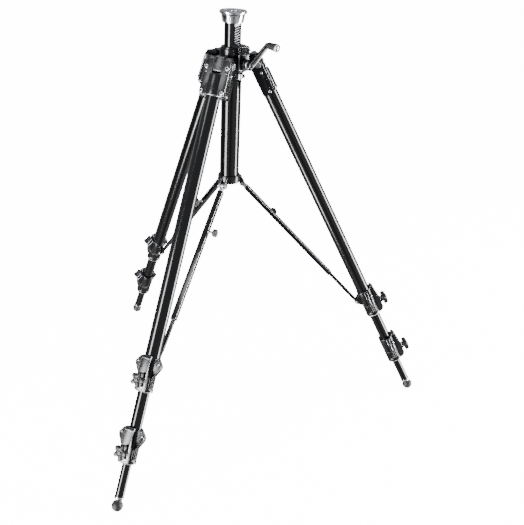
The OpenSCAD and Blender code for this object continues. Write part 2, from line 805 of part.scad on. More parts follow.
// Body of a leg lock on a tube of radius outer, that clamps a tube of radius inner.
module lock_body(s0, outer, inner) {
    difference() {
        union() {
            translate([0, 0, -s0 - lock_len]) cylinder(r = barrel_r, h = lock_len);
            translate([0, 0, -s0]) face_plate(ear_x0, ear_x1) ear_outline();
            translate([0, 0, -s0]) side_plate(-shell_half_w, shell_half_w) shell_outline();
        }
        translate([0, 0, -s0 - lock_len - 1]) cylinder(r = inner + run_gap, h = lock_len + 2);
        translate([0, 0, -s0 - lock_len + barrel_lip]) cylinder(r = outer, h = lock_len);
        translate([0, 0, -s0 - knob_drop]) bar_x(stem_r + run_gap, knob_seat - 8, knob_seat + 1);
        for (side = [-1, 1]) translate([0, side * ear_screw_y, -s0 - ear_screw_s])
            bar_x(2, 0, ear_x1 + 1);
    }
}

cheek_gap = 3.4;
cheek_t = 3.2;

// Upper lock of a leg, with the two cheeks that take the strut's end.
module leg_upper_lock(az) {
    color("#2f3034") at_leg(az) {
        lock_body(lock1_s, upper_r, middle_r);
        for (side = [-1, 1]) translate([0, side * (cheek_gap + cheek_t / 2), 0]) difference() {
            side_plate(-cheek_t / 2, cheek_t / 2) {
                translate([-bracket_back, -bracket_s]) circle(r = 6);
                polygon([[-bracket_back, -bracket_s + 6], [-upper_r - 0.5, -lock1_s - 8],
                         [-upper_r - 0.5, -bracket_s - 16], [-bracket_back, -bracket_s - 6]]);
            }
            translate([-bracket_back, 0, -bracket_s]) bar_y(2.2, -4, 4);
        }
    }
}

// Lower lock of a leg, with its two ear screws.
module leg_lower_lock(az) {
    color("#2f3034") at_leg(az) {
        lock_body(lock2_s, middle_r, lower_r);
        ear_screws(lock2_s);
    }
}

knob_steps = 14;

// Outline of a lobed knob: the radius swells once for each wing.
knob_outline = [
    for (i = [0 : knob_wings * knob_steps - 1])
        let (a = i * 360 / (knob_wings * knob_steps), swell = (1 + cos(knob_wings * a)) / 2,
             r = knob_root_r + (wing_span / 2 - knob_root_r) * pow(swell, 0.8))
            [r * cos(a), r * sin(a)]
];

// Wing knob that tightens a leg lock.
module lock_knob(az, s0) {
    base = knob_seat + 5;
    color("#1c1d20") at_leg(az) translate([0, 0, -s0 - knob_drop]) {
        bar_x(stem_r, knob_seat - 7, base + wing_t + 1.2);
        face_plate(base, base + wing_t) polygon(knob_outline);
    }
}

// ---------------------------------------------------------------- spreader struts

channel_end = strut_len * channel_share;
screw_x = strut_len * screw_share;
rod_w = channel_w - channel_wall - 0.1;
rod_h = channel_h - channel_wall - 0.1;
rod_start = screw_x - 7;
slot_start = 38;
neck_x = strut_len - 36;
screw_r = 2;

// Outer channel of a strut, from its eye on the hub pin.
module strut_channel(az) {
    color("#1c1d20") at_strut(az) difference() {
        union() {
            bar_y(6, -fork_gap + 0.3, fork_gap - 0.3);
            block([0, -fork_gap + 0.3, -5], [14, fork_gap - 0.3, 5]);
            block([13, -channel_w, -channel_h], [channel_end, channel_w, channel_h]);
        }
        bar_y(strut_pin_r + run_gap, -10, 10);
        block([slot_start, -rod_w - 0.1, -rod_h - 0.1], [channel_end + 1, rod_w + 0.1, rod_h + 0.1]);
        block([slot_start, 0, -screw_r - free_gap], [screw_x + 30, channel_w + 1, screw_r + free_gap]);
    }
}

// Inner rod of a strut, with the eye that stands between the lock's cheeks.
module strut_rod(az) {
    color("#a8abaf") at_strut(az) difference() {
        union() {
            block([rod_start, -rod_w, -rod_h], [neck_x, rod_w, rod_h]);
            block([neck_x - 1, -cheek_gap + 0.4, -rod_h], [strut_len, cheek_gap - 0.4, rod_h]);
            translate([strut_len, 0, 0]) bar_y(5, -cheek_gap + 0.4, cheek_gap - 0.4);
        }
        translate([strut_len, 0, 0]) bar_y(2.2, -10, 10);
        translate([screw_x, 0, 0]) bar_y(screw_r + run_gap, -rod_w + 1.5, 10);
    }
}

// Thumb screw that locks a strut's length.
module strut_knob(az) {
    face = channel_w + free_gap;
    color("#1c1d20") at_strut(az) translate([screw_x, 0, 0]) {
        bar_y(screw_r, -rod_w + 2, face + 1);
        bar_y(4.4, face, face + 2);
        bar_y(3, face, face + 12);
        bar_y(thumb_r, face + 11.5, face + 20);
    }
}

// ---------------------------------------------------------------- pieces

crown();
sleeve_tube();
sleeve_collar();
gear_housing();
spreader_hub();
leg_pivot_pins();
hub_pins();
column_tube();
column_rack();
column_cup();
top_plate();
plate_screws();
worm_wheel();
worm_shaft();
crank_arm();
grip_spindle();
crank_grip();
column_lock_knob();
leg_casting(leg_a);  // leg_a_casting
leg_cover(leg_a);  // leg_a_cover
leg_upper_tube(leg_a);  // leg_a_upper_tube
leg_upper_lock(leg_a);  // leg_a_upper_lock
leg_screws(leg_a);  // leg_a_screws
leg_middle_tube(leg_a);  // leg_a_middle_tube
leg_lower_lock(leg_a);  // leg_a_lower_lock
leg_lower_tube(leg_a);  // leg_a_lower_tube
leg_foot(leg_a);  // leg_a_foot
lock_knob(leg_a, lock1_s);  // leg_a_upper_knob
lock_knob(leg_a, lock2_s);  // leg_a_lower_knob
strut_channel(leg_a);  // leg_a_strut_channel
strut_rod(leg_a);  // leg_a_strut_rod
strut_knob(leg_a);  // leg_a_strut_knob
leg_casting(leg_b);  // leg_b_casting
leg_cover(leg_b);  // leg_b_cover
leg_upper_tube(leg_b);  // leg_b_upper_tube
leg_upper_lock(leg_b);  // leg_b_upper_lock
leg_screws(leg_b);  // leg_b_screws
leg_middle_tube(leg_b);  // leg_b_middle_tube
leg_lower_lock(leg_b);  // leg_b_lower_lock
leg_lower_tube(leg_b);  // leg_b_lower_tube
leg_foot(leg_b);  // leg_b_foot
lock_knob(leg_b, lock1_s);  // leg_b_upper_knob
lock_knob(leg_b, lock2_s);  // leg_b_lower_knob
strut_channel(leg_b);  // leg_b_strut_channel
strut_rod(leg_b);  // leg_b_strut_rod
strut_knob(leg_b);  // leg_b_strut_knob
leg_casting(leg_c);  // leg_c_casting
leg_cover(leg_c);  // leg_c_cover
leg_upper_tube(leg_c);  // leg_c_upper_tube
leg_upper_lock(leg_c);  // leg_c_upper_lock
leg_screws(leg_c);  // leg_c_screws
leg_middle_tube(leg_c);  // leg_c_middle_tube
leg_lower_lock(leg_c);  // leg_c_lower_lock
leg_lower_tube(leg_c);  // leg_c_lower_tube
leg_foot(leg_c);  // leg_c_foot
lock_knob(leg_c, lock1_s);  // leg_c_upper_knob
lock_knob(leg_c, lock2_s);  // leg_c_lower_knob
strut_channel(leg_c);  // leg_c_strut_channel
strut_rod(leg_c);  // leg_c_strut_rod
strut_knob(leg_c);  // leg_c_strut_knob
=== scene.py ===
# %% [markdown]
# # A camera tripod with a geared column
#
# This lesson dresses a finished engineering model of a tripod. The engineering model fixes every
# size and every joint. Here it gets its visible surfaces: rounded castings, anodised tubes, knobs
# that a hand can grip. Each step first says what the real piece is, then builds it.

# %% Load the frame
import json
import math

import bpy
from mathutils import Euler, Matrix, Vector


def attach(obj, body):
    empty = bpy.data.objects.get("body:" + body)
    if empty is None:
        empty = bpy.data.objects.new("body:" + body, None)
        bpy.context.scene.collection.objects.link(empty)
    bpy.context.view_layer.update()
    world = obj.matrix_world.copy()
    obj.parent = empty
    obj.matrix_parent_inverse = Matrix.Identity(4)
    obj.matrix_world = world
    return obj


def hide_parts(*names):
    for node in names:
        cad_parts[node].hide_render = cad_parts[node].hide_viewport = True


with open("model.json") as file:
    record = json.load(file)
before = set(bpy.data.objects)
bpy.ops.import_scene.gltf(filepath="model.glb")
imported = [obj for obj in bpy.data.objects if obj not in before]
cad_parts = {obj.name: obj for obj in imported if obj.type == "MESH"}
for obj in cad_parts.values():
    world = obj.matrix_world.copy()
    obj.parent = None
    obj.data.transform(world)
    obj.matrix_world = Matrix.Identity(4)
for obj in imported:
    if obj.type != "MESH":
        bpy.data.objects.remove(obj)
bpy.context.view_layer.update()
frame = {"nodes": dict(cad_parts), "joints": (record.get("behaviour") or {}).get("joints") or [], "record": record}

# %% [markdown]
# ## Places to work in
#
# A tripod is one leg made three times. Modelling a leg where it stands, tilted and turned, is hard
# to do by hand, so each leg gets a frame of its own: the origin is at its hinge, Z runs up along the
# tube, X points away from the column and Y goes sideways. The hinge and the slide of the
# engineering model say where that frame is, so nothing has to be measured twice. The struts and
# the crank get such frames too.

# %% Frames of the legs, the struts and the crank
MM = 0.001
JOINTS = {joint["name"]: joint for joint in frame["joints"]}
LEGS = ("a", "b", "c")


def frame_at(origin, out, up):
    """A matrix with its origin there, Z along up and X as near to out as Z allows."""
    up = Vector(up).normalized()
    side = up.cross(Vector(out)).normalized()
    turn = Matrix((side.cross(up), side, up)).transposed().to_4x4()
    return Matrix.Translation(Vector(origin)) @ turn


def leg_frame(leg):
    """A leg's frame: its hinge, and the line that its middle tube slides along."""
    hinge = Vector(JOINTS["fold_" + leg]["pos_m"])
    along = Vector(JOINTS["middle_slide_" + leg]["axis"])
    return frame_at(hinge, (hinge.x, hinge.y, 0), along if along.z > 0 else -along)


def strut_frame(leg):
    """A strut's frame: its pin on the hub, with X along the strut."""
    pin = Vector(JOINTS["strut_tilt_" + leg]["pos_m"])
    along = Vector(JOINTS["strut_slide_" + leg]["axis"])
    side = Vector((0, 0, 1)).cross(along)
    return frame_at(pin, along, along.cross(side))


def turn_to(direction):
    """A turn about the column that brings X to a direction."""
    return Matrix.Rotation(math.atan2(direction[1], direction[0]), 4, "Z")


PLAIN = Matrix.Identity(4)
LEG = {leg: leg_frame(leg) for leg in LEGS}
STRUT = {leg: strut_frame(leg) for leg in LEGS}
AROUND = {leg: turn_to(LEG[leg].to_translation()) for leg in LEGS}
crank_axis = JOINTS["crank_turn"]["axis"]
DRIVE = frame_at(JOINTS["crank_turn"]["pos_m"], crank_axis, (0, 0, 1))
UPRIGHT = turn_to(crank_axis)
for leg in LEGS:
    print("leg", leg, "hinges at", [round(value, 4) for value in LEG[leg].to_translation()])


# %% [markdown]
# A solid's size in one of these frames is worth knowing too: the tilted tube is simply as long as
# it is, and a lock's top is one number. So is the place of a joint.

# %% Measure in a frame
def box_in(node, place):
    """Lowest and highest corner of a solid, in millimetres of that frame."""
    back = place.inverted()
    corners = [back @ vertex.co / MM for vertex in frame["nodes"][node].data.vertices]
    low = Vector([min(corner[axis] for corner in corners) for axis in range(3)])
    high = Vector([max(corner[axis] for corner in corners) for axis in range(3)])
    return low, high


def joint_in(joint, place):
    """Where a joint is, in millimetres of that frame."""
    return place.inverted() @ Vector(JOINTS[joint]["pos_m"]) / MM


low, high = box_in("leg_b_upper_lock", LEG["b"])
print("the upper lock reaches from", round(low.z, 1), "to", round(high.z, 1), "mm along its leg")

# %% [markdown]
# ## Camera
#
# A catalogue view: from a little above the column's top, at the distance of someone standing in
# front of it, with a short telephoto lens that keeps the legs from splaying. Three angles turn a
# level camera into this one: yaw to the side, pitch down, and a small roll.

# %% Camera
YAW, PITCH, ROLL = (math.radians(angle) for angle in (6.36, 26.112, 2.661))


def add_object(name, data):
    """Puts a camera or a light into the scene."""
    made = bpy.data.objects.new(name, data)
    bpy.context.scene.collection.objects.link(made)
    return made


camera_data = bpy.data.cameras.new("camera")
camera_data.sensor_width = 36
camera_data.lens = 54.73
camera = add_object("camera", camera_data)
camera.location = (-0.1079, -1.7346, 1.2309)

forward = Vector((math.sin(YAW) * math.cos(PITCH), math.cos(YAW) * math.cos(PITCH), -math.sin(PITCH)))
level = Vector((math.cos(YAW), -math.sin(YAW), 0))
rise = level.cross(forward)
right = math.cos(ROLL) * level + math.sin(ROLL) * rise
above = math.cos(ROLL) * rise - math.sin(ROLL) * level
camera.rotation_euler = Matrix((right, above, -forward)).transposed().to_euler()
bpy.context.scene.camera = camera
print("camera looks along", [round(value, 3) for value in forward])

# %% [markdown]
# ## Light
#
# Black tubes show what they reflect and little else. A product photographer stands tall narrow
# softboxes on both sides, so each tube gets one clean bright line on the left and one on the right.
# Seen from above, an upright tube mirrors what lies below the horizon, so the strips reach down
# past the floor's level. A broad sun lights the floor to a clean white without a hard shadow, and a
# wide softbox above gives the castings their sheen.

# %% Studio
def softbox(name, azimuth, distance, height, width, tall, glow):
    """An area light on a circle round the column, turned to face it. Its glow is its brightness."""
    data = bpy.data.lights.new(name, "AREA")
    data.shape = "RECTANGLE"
    data.size, data.size_y = width, tall
    data.energy = glow * math.pi * width * tall
    light = add_object(name, data)
    angle = math.radians(azimuth)
    light.location = (distance * math.sin(angle), -distance * math.cos(angle), height)
    aim = Vector((0, 0, 0.5)) - light.location
    light.rotation_euler = aim.to_track_quat("-Z", "Y").to_euler()


# Azimuths are counted from straight in front, to the right.
softbox("left_strip", -52, 3.0, -0.3, 1.0, 4.6, 34)
softbox("right_strip", 84, 3.0, -0.2, 1.0, 5.0, 40)
softbox("top_sheen", -60, 2.4, 2.6, 1.0, 0.8, 7)

sun_data = bpy.data.lights.new("sun", "SUN")
sun_data.energy = 2
sun_data.angle = math.radians(100)
sun = add_object("sun", sun_data)
sun.rotation_euler = (math.radians(12), math.radians(-10), 0)
sun.visible_glossy = False  # it lights the paper, and no face mirrors it

# %% [markdown]
# ## Colours and nodes
#
# A colour is given as a hex code, and the renderer works in linear light, so one function
# turns the one into the other. Another adds a node together with its settings and its links.

# %% Colours and nodes
def srgb(code):
    """A colour written as a hex code, as the linear values that Blender works in."""
    parts = [int(code[place:place + 2], 16) / 255 for place in (1, 3, 5)]
    return tuple(
        part / 12.92 if part <= 0.04045 else ((part + 0.055) / 1.055) ** 2.4 for part in parts
    ) + (1.0,)


def add_node(tree, kind, inputs=None, **settings):
    """Adds a node. An input given as a socket is linked, and any other value is set."""
    made = tree.nodes.new(kind)
    for name, value in settings.items():
        setattr(made, name, value)
    for name, value in (inputs or {}).items():
        if isinstance(value, bpy.types.NodeSocket):
            tree.links.new(value, made.inputs[name])
        else:
            made.inputs[name].default_value = value
    return made


def mixed(tree, value, first, second):
    """A colour between two, by a 0 to 1 value."""
    # The colour inputs are 6 and 7, because the node has others for numbers and vectors.
    inputs = {0: value, 6: first, 7: second}
    return add_node(tree, "ShaderNodeMix", inputs, data_type="RGBA").outputs[2]


def between(tree, value, low, high, start=0, end=1):
    """Spreads a value that runs from start to end over a range."""
    return add_node(tree, "ShaderNodeMapRange", {
        "Value": value, "From Min": start, "From Max": end, "To Min": low, "To Max": high,
    }).outputs["Result"]


print("a grey of #808080 is", round(srgb("#808080")[0], 3), "in linear light")

# %% [markdown]
# ## Surroundings
#
# What no lamp covers is mirrored too. Above the horizon the studio is pale. Below it, metal sees
# white and black cards side by side, which gives bright metal its dark and light bands.

# %% Surroundings
# Where the cards stand, from far left to far right, and how bright each is.
CARDS = ((0.14, 0.5), (0.38, 0.8), (0.46, 0.2), (0.60, 0.26), (0.68, 0.7), (0.88, 0.8))

world = bpy.data.worlds.new("studio")
world.use_nodes = True
world.node_tree.nodes.clear()
direction = add_node(world.node_tree, "ShaderNodeTexCoord").outputs["Generated"]
parts = add_node(world.node_tree, "ShaderNodeSeparateXYZ", {"Vector": direction})
across = between(world.node_tree, parts.outputs["X"], 0, 1, -1, 1)
cards = add_node(world.node_tree, "ShaderNodeValToRGB", {"Fac": across})
cards.color_ramp.elements[0].position = 0.06
cards.color_ramp.elements[1].position = 0.97
for spot, glow in CARDS:
    cards.color_ramp.elements.new(spot).color = (glow, glow, glow, 1)
cards.color_ramp.elements[0].color = (0.05, 0.05, 0.05, 1)
cards.color_ramp.elements[-1].color = (0.1, 0.1, 0.1, 1)
upper = between(world.node_tree, parts.outputs["Z"], 0, 1, -0.04, 0.04)
studio = mixed(world.node_tree, upper, cards.outputs["Color"], srgb("#c4c6ca"))
sky = add_node(world.node_tree, "ShaderNodeBackground", {"Color": studio, "Strength": 0.75})
add_node(world.node_tree, "ShaderNodeOutputWorld", {"Surface": sky.outputs["Background"]})
bpy.context.scene.world = world
print("surroundings have", len(CARDS), "cards")

# %% [markdown]
# ## Finishes
#
# Every finish starts from what the real surface is and how it was made. A base function builds the
# shader and leaves the pattern to each finish, because a drawn tube, a sand cast housing and a
# moulded knob differ in their pattern far more than in their colour.

# %% Shader base
def shader(name, colour, metallic, roughness, ior=None):
    """A material with one surface shader. Gives the material, its node tree and the shader."""
    material = bpy.data.materials.new(name)
    material.use_nodes = True
    tree = material.node_tree
    tree.nodes.clear()
    values = {"Base Color": srgb(colour), "Metallic": metallic, "Roughness": roughness}
    if ior is not None:
        values["IOR"] = ior
    surface = add_node(tree, "ShaderNodeBsdfPrincipled", values)
    add_node(tree, "ShaderNodeOutputMaterial", {"Surface": surface.outputs["BSDF"]})
    return material, tree, surface


def noise(tree, size_mm, detail=2.0, stretch=(1, 1, 1), turn=(0, 0, 0)):
    """Noise whose grains are about that many millimetres across, longer where stretch is above 1."""
    place = add_node(tree, "ShaderNodeTexCoord").outputs["Object"]
    scale = tuple(1 / (size_mm * MM * part) for part in stretch)
    turned = add_node(tree, "ShaderNodeMapping", {"Vector": place, "Rotation": turn}, vector_type="TEXTURE")
    spread = add_node(tree, "ShaderNodeMapping", {"Vector": turned.outputs["Vector"], "Scale": scale})
    grains = add_node(
        tree, "ShaderNodeTexNoise",
        {"Vector": spread.outputs["Vector"], "Scale": 1.0, "Detail": detail},
    )
    return grains.outputs["Fac"]


def bump(tree, value, height_mm):
    """A surface that rises by up to that height."""
    return add_node(
        tree, "ShaderNodeBump", {"Height": value, "Strength": 1.0, "Distance": height_mm * MM}
    ).outputs["Normal"]


def tint(tree, value, dark, light):
    """Two shades, mixed by a pattern."""
    return mixed(tree, value, srgb(dark), srgb(light))


def gloss(tree, value, dull):
    """Roughness that wanders a little round its mean."""
    return between(tree, value, dull - 0.06, dull + 0.08)


def feed(tree, surface, inputs):
    """Links patterns to a shader's inputs."""
    for name, value in inputs.items():
        tree.links.new(value, surface.inputs[name])


print("grains of 1 mm need a noise scale of", round(1 / MM))

# %% [markdown]
# ### Black anodised tube
#
# Drawn aluminium tube, dyed black in its oxide layer and sealed. The sealed layer has an IOR near
# 1.5, so the tube is deep black with a crisp gloss. Drawing leaves fine lines along the tube, real
# ones 0.05 mm apart, drawn here at 0.6 mm so that they show. They have to run along the tube, so
# each leg has its own copy, turned to its own direction.

# %% Black anodised tube
def anodised_tube(name, place):
    """Gloss black oxide with drawing lines along the Z of that frame."""
    material, tree, surface = shader(name, "#040405", 0.0, 0.13, 1.5)
    lines = noise(tree, 0.6, 3.0, (1, 1, 60), tuple(place.to_euler()))
    feed(tree, surface, {
        "Base Color": tint(tree, lines, "#030304", "#060607"),
        "Roughness": between(tree, lines, 0.09, 0.19),
        "Normal": bump(tree, lines, 0.002),
    })
    return material


ANODISED = {leg: anodised_tube("anodised_leg_" + leg, LEG[leg]) for leg in LEGS}
ANODISED_COLUMN = anodised_tube("anodised_column", PLAIN)
ALONG_X = Euler((0, math.pi / 2, 0)).to_matrix().to_4x4()
ANODISED_STRUT = {leg: anodised_tube("anodised_strut_" + leg, STRUT[leg] @ ALONG_X) for leg in LEGS}
print("drawing lines run along", len(ANODISED) + len(ANODISED_STRUT), "legs and struts, and the column")


# %% [markdown]
# ### Enamelled casting
#
# Die cast aluminium under baked satin enamel. The enamel flows a little before it sets, which
# leaves an orange peel of about 1.6 mm, and it lies thinner every 6 mm or so, where its gloss is duller.

# %% Enamelled casting
def enamel(name, dark, light, dull, peel_mm):
    """Satin enamel between two shades, with its orange peel."""
    material, tree, surface = shader(name, dark, 0.0, dull, 1.5)
    peel = noise(tree, 1.6, 2.0)
    patches = noise(tree, 6, 3.0)
    feed(tree, surface, {
        "Base Color": tint(tree, patches, dark, light), "Roughness": gloss(tree, patches, dull),
        "Normal": bump(tree, peel, peel_mm),
    })
    return material


BLACK_ENAMEL = enamel("black_enamel", "#020203", "#050506", 0.19, 0.02)
GREY_ENAMEL = enamel("grey_enamel", "#050506", "#0b0b0d", 0.22, 0.04)
print("made", BLACK_ENAMEL.name, "and", GREY_ENAMEL.name)


# %% [markdown]
# ### Bare metals
#
# The plate and its cup are turned and polished, the screws and pins are zinc plated steel, and the
# rack is milled. All are true metals: their colour is their reflection, and the default IOR stays.

# %% Bare metals
def turned_alloy(name):
    """Polished aluminium with the fine rings that a lathe leaves, drawn 0.5 mm apart."""
    material, tree, surface = shader(name, "#d4d7db", 1.0, 0.16)
    place = add_node(tree, "ShaderNodeTexCoord").outputs["Object"]
    rings = add_node(
        tree, "ShaderNodeTexWave", {"Vector": place, "Scale": 0.5 / (0.5 * MM) / 10, "Distortion": 0.4},
        wave_type="RINGS", rings_direction="Z",
    ).outputs["Fac"]
    feed(tree, surface, {"Roughness": between(tree, rings, 0.11, 0.2), "Normal": bump(tree, rings, 0.004)})
    return material


def plain_metal(name, dark, light, dull, grain_mm):
    """A metal with a fine grain in its colour and its gloss."""
    material, tree, surface = shader(name, light, 1.0, dull)
    grain = noise(tree, grain_mm, 3.0)
    feed(tree, surface, {
        "Base Color": tint(tree, grain, dark, light), "Roughness": gloss(tree, grain, dull),
        "Normal": bump(tree, grain, 0.004),
    })
    return material


TURNED = turned_alloy("turned_alloy")
ZINC = plain_metal("zinc_plated_steel", "#c4c7cb", "#e4e6e8", 0.22, 1.2)
SATIN = plain_metal("satin_turned_alloy", "#a6a9ad", "#c6c9cd", 0.38, 1.0)
# Faces of the castings that are left bare after blasting and facing.
FACED = plain_metal("faced_casting", "#8c8f94", "#bcbfc4", 0.34, 2.2)
# Edges where the enamel is worn through to dull alloy. It is also a painted highlight: every rounded edge of the
# enamel gets it.
EDGE_WEAR_AND_HIGHLIGHT = plain_metal("worn_edge", "#74777b", "#a6a9ae", 0.32, 1.4)
MILLED = plain_metal("milled_alloy", "#a9acb0", "#c9ccd0", 0.3, 0.8)
BRASS = plain_metal("cut_brass", "#a98a4c", "#c9a968", 0.26, 0.8)
print("made", [metal.name for metal in (TURNED, ZINC, SATIN, FACED, EDGE_WEAR_AND_HIGHLIGHT, MILLED, BRASS)])


# %% [markdown]
# ### Plastic and rubber
#
# The knobs are moulded nylon with a spark eroded texture of about 0.7 mm. The feet are moulded
# rubber: duller, and slightly dusty where they have stood.

# %% Plastic and rubber
def moulded(name, dark, light, dull, grain_mm, height_mm):
    """A moulded surface with the texture of its mould."""
    material, tree, surface = shader(name, dark, 0.0, dull, 1.52)
    grain = noise(tree, grain_mm, 2.0)
    patches = noise(tree, 9, 2.0)
    feed(tree, surface, {
        "Base Color": tint(tree, patches, dark, light), "Roughness": gloss(tree, grain, dull),
        "Normal": bump(tree, grain, height_mm),
    })
    return material


NYLON = moulded("moulded_nylon", "#030304", "#060607", 0.4, 0.7, 0.02)
RUBBER = moulded("moulded_rubber", "#030303", "#070707", 0.6, 0.9, 0.03)
print("made", NYLON.name, "and", RUBBER.name)

# %% [markdown]
# ## Every solid gets its finish
#
# Some solids are dressed with a finer piece later on. Until then, and where the solid is already
# good enough, it wears the finish of its own material.

# %% Finishes on the solids
SLOT_FINISH = {
    "black_anodised": ANODISED_COLUMN, "casting_black": BLACK_ENAMEL, "casting_grey": GREY_ENAMEL,
    "polished_alloy": TURNED, "steel": ZINC, "rack_alloy": MILLED, "brass": BRASS,
    "knob_plastic": NYLON, "foot_rubber": RUBBER,
}


def finish_of(node, slot):
    """The finish of a solid: its slot's, with drawn tubes turned to their own leg."""
    if slot == "black_anodised" and node.startswith("leg_"):
        turned = ANODISED_STRUT if "strut" in node else ANODISED
        return turned[node[4]]
    return SLOT_FINISH[slot]


for part in frame["record"]["subparts"]:
    solid = frame["nodes"][part["node"]]
    solid.data.materials.clear()
    solid.data.materials.append(finish_of(part["node"], part["material_slot"]))

# %% [markdown]
# ## Ways to shape
#
# Nearly every piece of a tripod is a plate with rounded edges or a turned ring. Both start from a
# circle. A plate's circle has one corner for each corner of its outline, which is moved into place,
# and is then extruded.

# %% Plates
ACROSS = {
    "X": lambda depth, first, second: Vector((depth, first, second)) * MM,
    "Y": lambda depth, first, second: Vector((first, depth, second)) * MM,
    "Z": lambda depth, first, second: Vector((first, second, depth)) * MM,
}

# Every shape starts with two places for a finish: its faces, and the edges that get rounded.
FACES, EDGES = bpy.data.materials.new("faces"), bpy.data.materials.new("edges")


def new_circle(sides, **settings):
    """A circle to start a shape from."""
    bpy.ops.object.select_all(action="DESELECT")
    bpy.ops.mesh.primitive_circle_add(vertices=sides, **settings)
    return bpy.context.object


def extrude(step):
    """Pulls out what is selected."""
    bpy.ops.mesh.extrude_region_move(TRANSFORM_OT_translate={"value": step})


def close_up(made, merge=False):
    """Ends the editing of a shape with its faces pointing outwards."""
    bpy.ops.mesh.select_all(action="SELECT")
    if merge:
        bpy.ops.mesh.remove_doubles(threshold=1e-6)
    bpy.ops.mesh.normals_make_consistent(inside=False)
    bpy.ops.object.mode_set(mode="OBJECT")
    made.data.materials.append(FACES)
    made.data.materials.append(EDGES)
    return made


def plate(outline, low, high, axis="X"):
    """An outline in the two other directions, extruded along an axis from low to high."""
    made = new_circle(len(outline), fill_type="NGON")
    for vertex, (first, second) in zip(made.data.vertices, outline):
        vertex.co = ACROSS[axis](low, first, second)
    bpy.ops.object.mode_set(mode="EDIT")
    bpy.ops.mesh.select_all(action="SELECT")
    extrude(ACROSS[axis](high - low, 0, 0))
    return close_up(made)


print("a plate can stand along", ", ".join(ACROSS))

# %% [markdown]
# A turned piece's circle is extruded and resized along its profile, as a potter pulls up a wall.

# %% Turned pieces
TURN_TO = {"X": ALONG_X, "Y": Euler((-math.pi / 2, 0, 0)).to_matrix().to_4x4(), "Z": PLAIN}


def turned(profile, axis="Z", centre=(0, 0, 0), sides=64, ring=False):
    """A profile of (radius, height) turned about an axis through a centre. A ring has no ends."""
    radius, height = profile[0]
    made = new_circle(sides, radius=radius * MM, fill_type="NOTHING" if ring else "NGON")
    made.data.transform(Matrix.Translation((0, 0, height * MM)))
    bpy.ops.object.mode_set(mode="EDIT")
    bpy.ops.mesh.select_all(action="SELECT")
    for wide, high in profile[1:] + (profile[:1] if ring else []):
        extrude((0, 0, (high - height) * MM))
        ratio = wide / radius
        bpy.ops.transform.resize(value=(ratio, ratio, 1), center_override=(0, 0, high * MM))
        radius, height = wide, high
    close_up(made, merge=ring)
    made.data.transform(Matrix.Translation(Vector(centre) * MM) @ TURN_TO[axis])
    return made


print("a piece along Y is turned by", [round(math.degrees(a)) for a in TURN_TO["Y"].to_euler()], "degrees")

# %% [markdown]
# A tripod repeats itself, so a pattern is modelled once and copied, each copy with a mesh of its own.
# A piece is moved by its mesh, and its object stays at the origin, as the solids' objects do.

# %% Moves and copies
def moved(x=0, y=0, z=0):
    """A move, in millimetres."""
    return Matrix.Translation(Vector((x, y, z)) * MM)


def placed(made, place):
    """Moves a piece's mesh by a matrix."""
    made.data.transform(place)
    return made


def copies(made, places):
    """Copies a pattern to each place and takes the pattern away."""
    twins = []
    for place in places:
        twin = made.copy()
        twin.data = made.data.copy()
        bpy.context.scene.collection.objects.link(twin)
        twins.append(placed(twin, place))
    bpy.data.objects.remove(made)
    return twins


print("patterns can be copied to", len(LEG), "legs and", len(STRUT), "struts")

# %% [markdown]
# A finished piece rides on the body of the solids that it stands for. Enamel covers its faces, and its
# rounded edges get bare metal that is wear and a painted highlight at once; any other finish covers all of it.

# %% Dressing
def dress(made, name, material, body, nodes=(), place=PLAIN):
    """Names a finished piece, puts it in its place and finish, on its body and before its solids."""
    placed(made, place).name = name
    # Enamel's rounded edges get bare metal, which is wear and a painted highlight.
    if material in (BLACK_ENAMEL, GREY_ENAMEL):
        for index, mark in enumerate(made.data.materials):
            made.data.materials[index] = EDGE_WEAR_AND_HIGHLIGHT if mark == EDGES else material
    else:
        made.data.materials.clear()
        made.data.materials.append(material)
    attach(made, body)
    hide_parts(*nodes)


def dress_legs(made, name, material, body, node=None, places=LEG):
    """Copies a piece to all three legs or struts. Names end in the leg's letter."""
    triangles = sum(len(face.vertices) - 2 for face in made.data.polygons)
    for leg, twin in zip(LEGS, copies(made, [places[leg] for leg in LEGS])):
        finish = material[leg] if isinstance(material, dict) else material
        nodes = ("leg_" + leg + "_" + node,) if node else ()
        dress(twin, name + "_" + leg, finish, body + leg, nodes)
    print(name, "on three legs,", triangles, "triangles each")


# Bare metal on the enamel's edges is wear and a painted highlight.
print("worn edges show", EDGE_WEAR_AND_HIGHLIGHT.name)

# %% [markdown]
# ## Leg tubes
#
# Three tubes slide in one another. Each is a drawn tube with its cut ends broken by a file, and the
# two inner ones carry a guide ring at the top that keeps them centred. A turned ring suits them: the
# profile runs up the outside and down the inside.

# %% Leg tubes
TUBE_RADIUS = {"upper": 16, "middle": 13, "lower": 10}
TUBE_WALL = 1.3
FILED = 0.4
GUIDE_LENGTH = 18


def pick(made):
    """Makes a piece the only selected one."""
    bpy.ops.object.select_all(action="DESELECT")
    made.select_set(True)
    bpy.context.view_layer.objects.active = made
    return made


def pipe(radius, wall, low, high, guide=None):
    """A tube along Z with broken edges, and a wider guide ring at its top if it has one."""
    profile = [(radius - FILED, low), (radius, low + FILED)]
    if guide:
        profile += [(radius, high - GUIDE_LENGTH), (guide, high - GUIDE_LENGTH + FILED)]
    top = guide or radius
    profile += [(top, high - FILED), (top - FILED, high), (radius - wall, high), (radius - wall, low)]
    made = pick(turned(profile, sides=80, ring=True))
    bpy.ops.object.shade_smooth_by_angle(angle=math.radians(30))
    return made


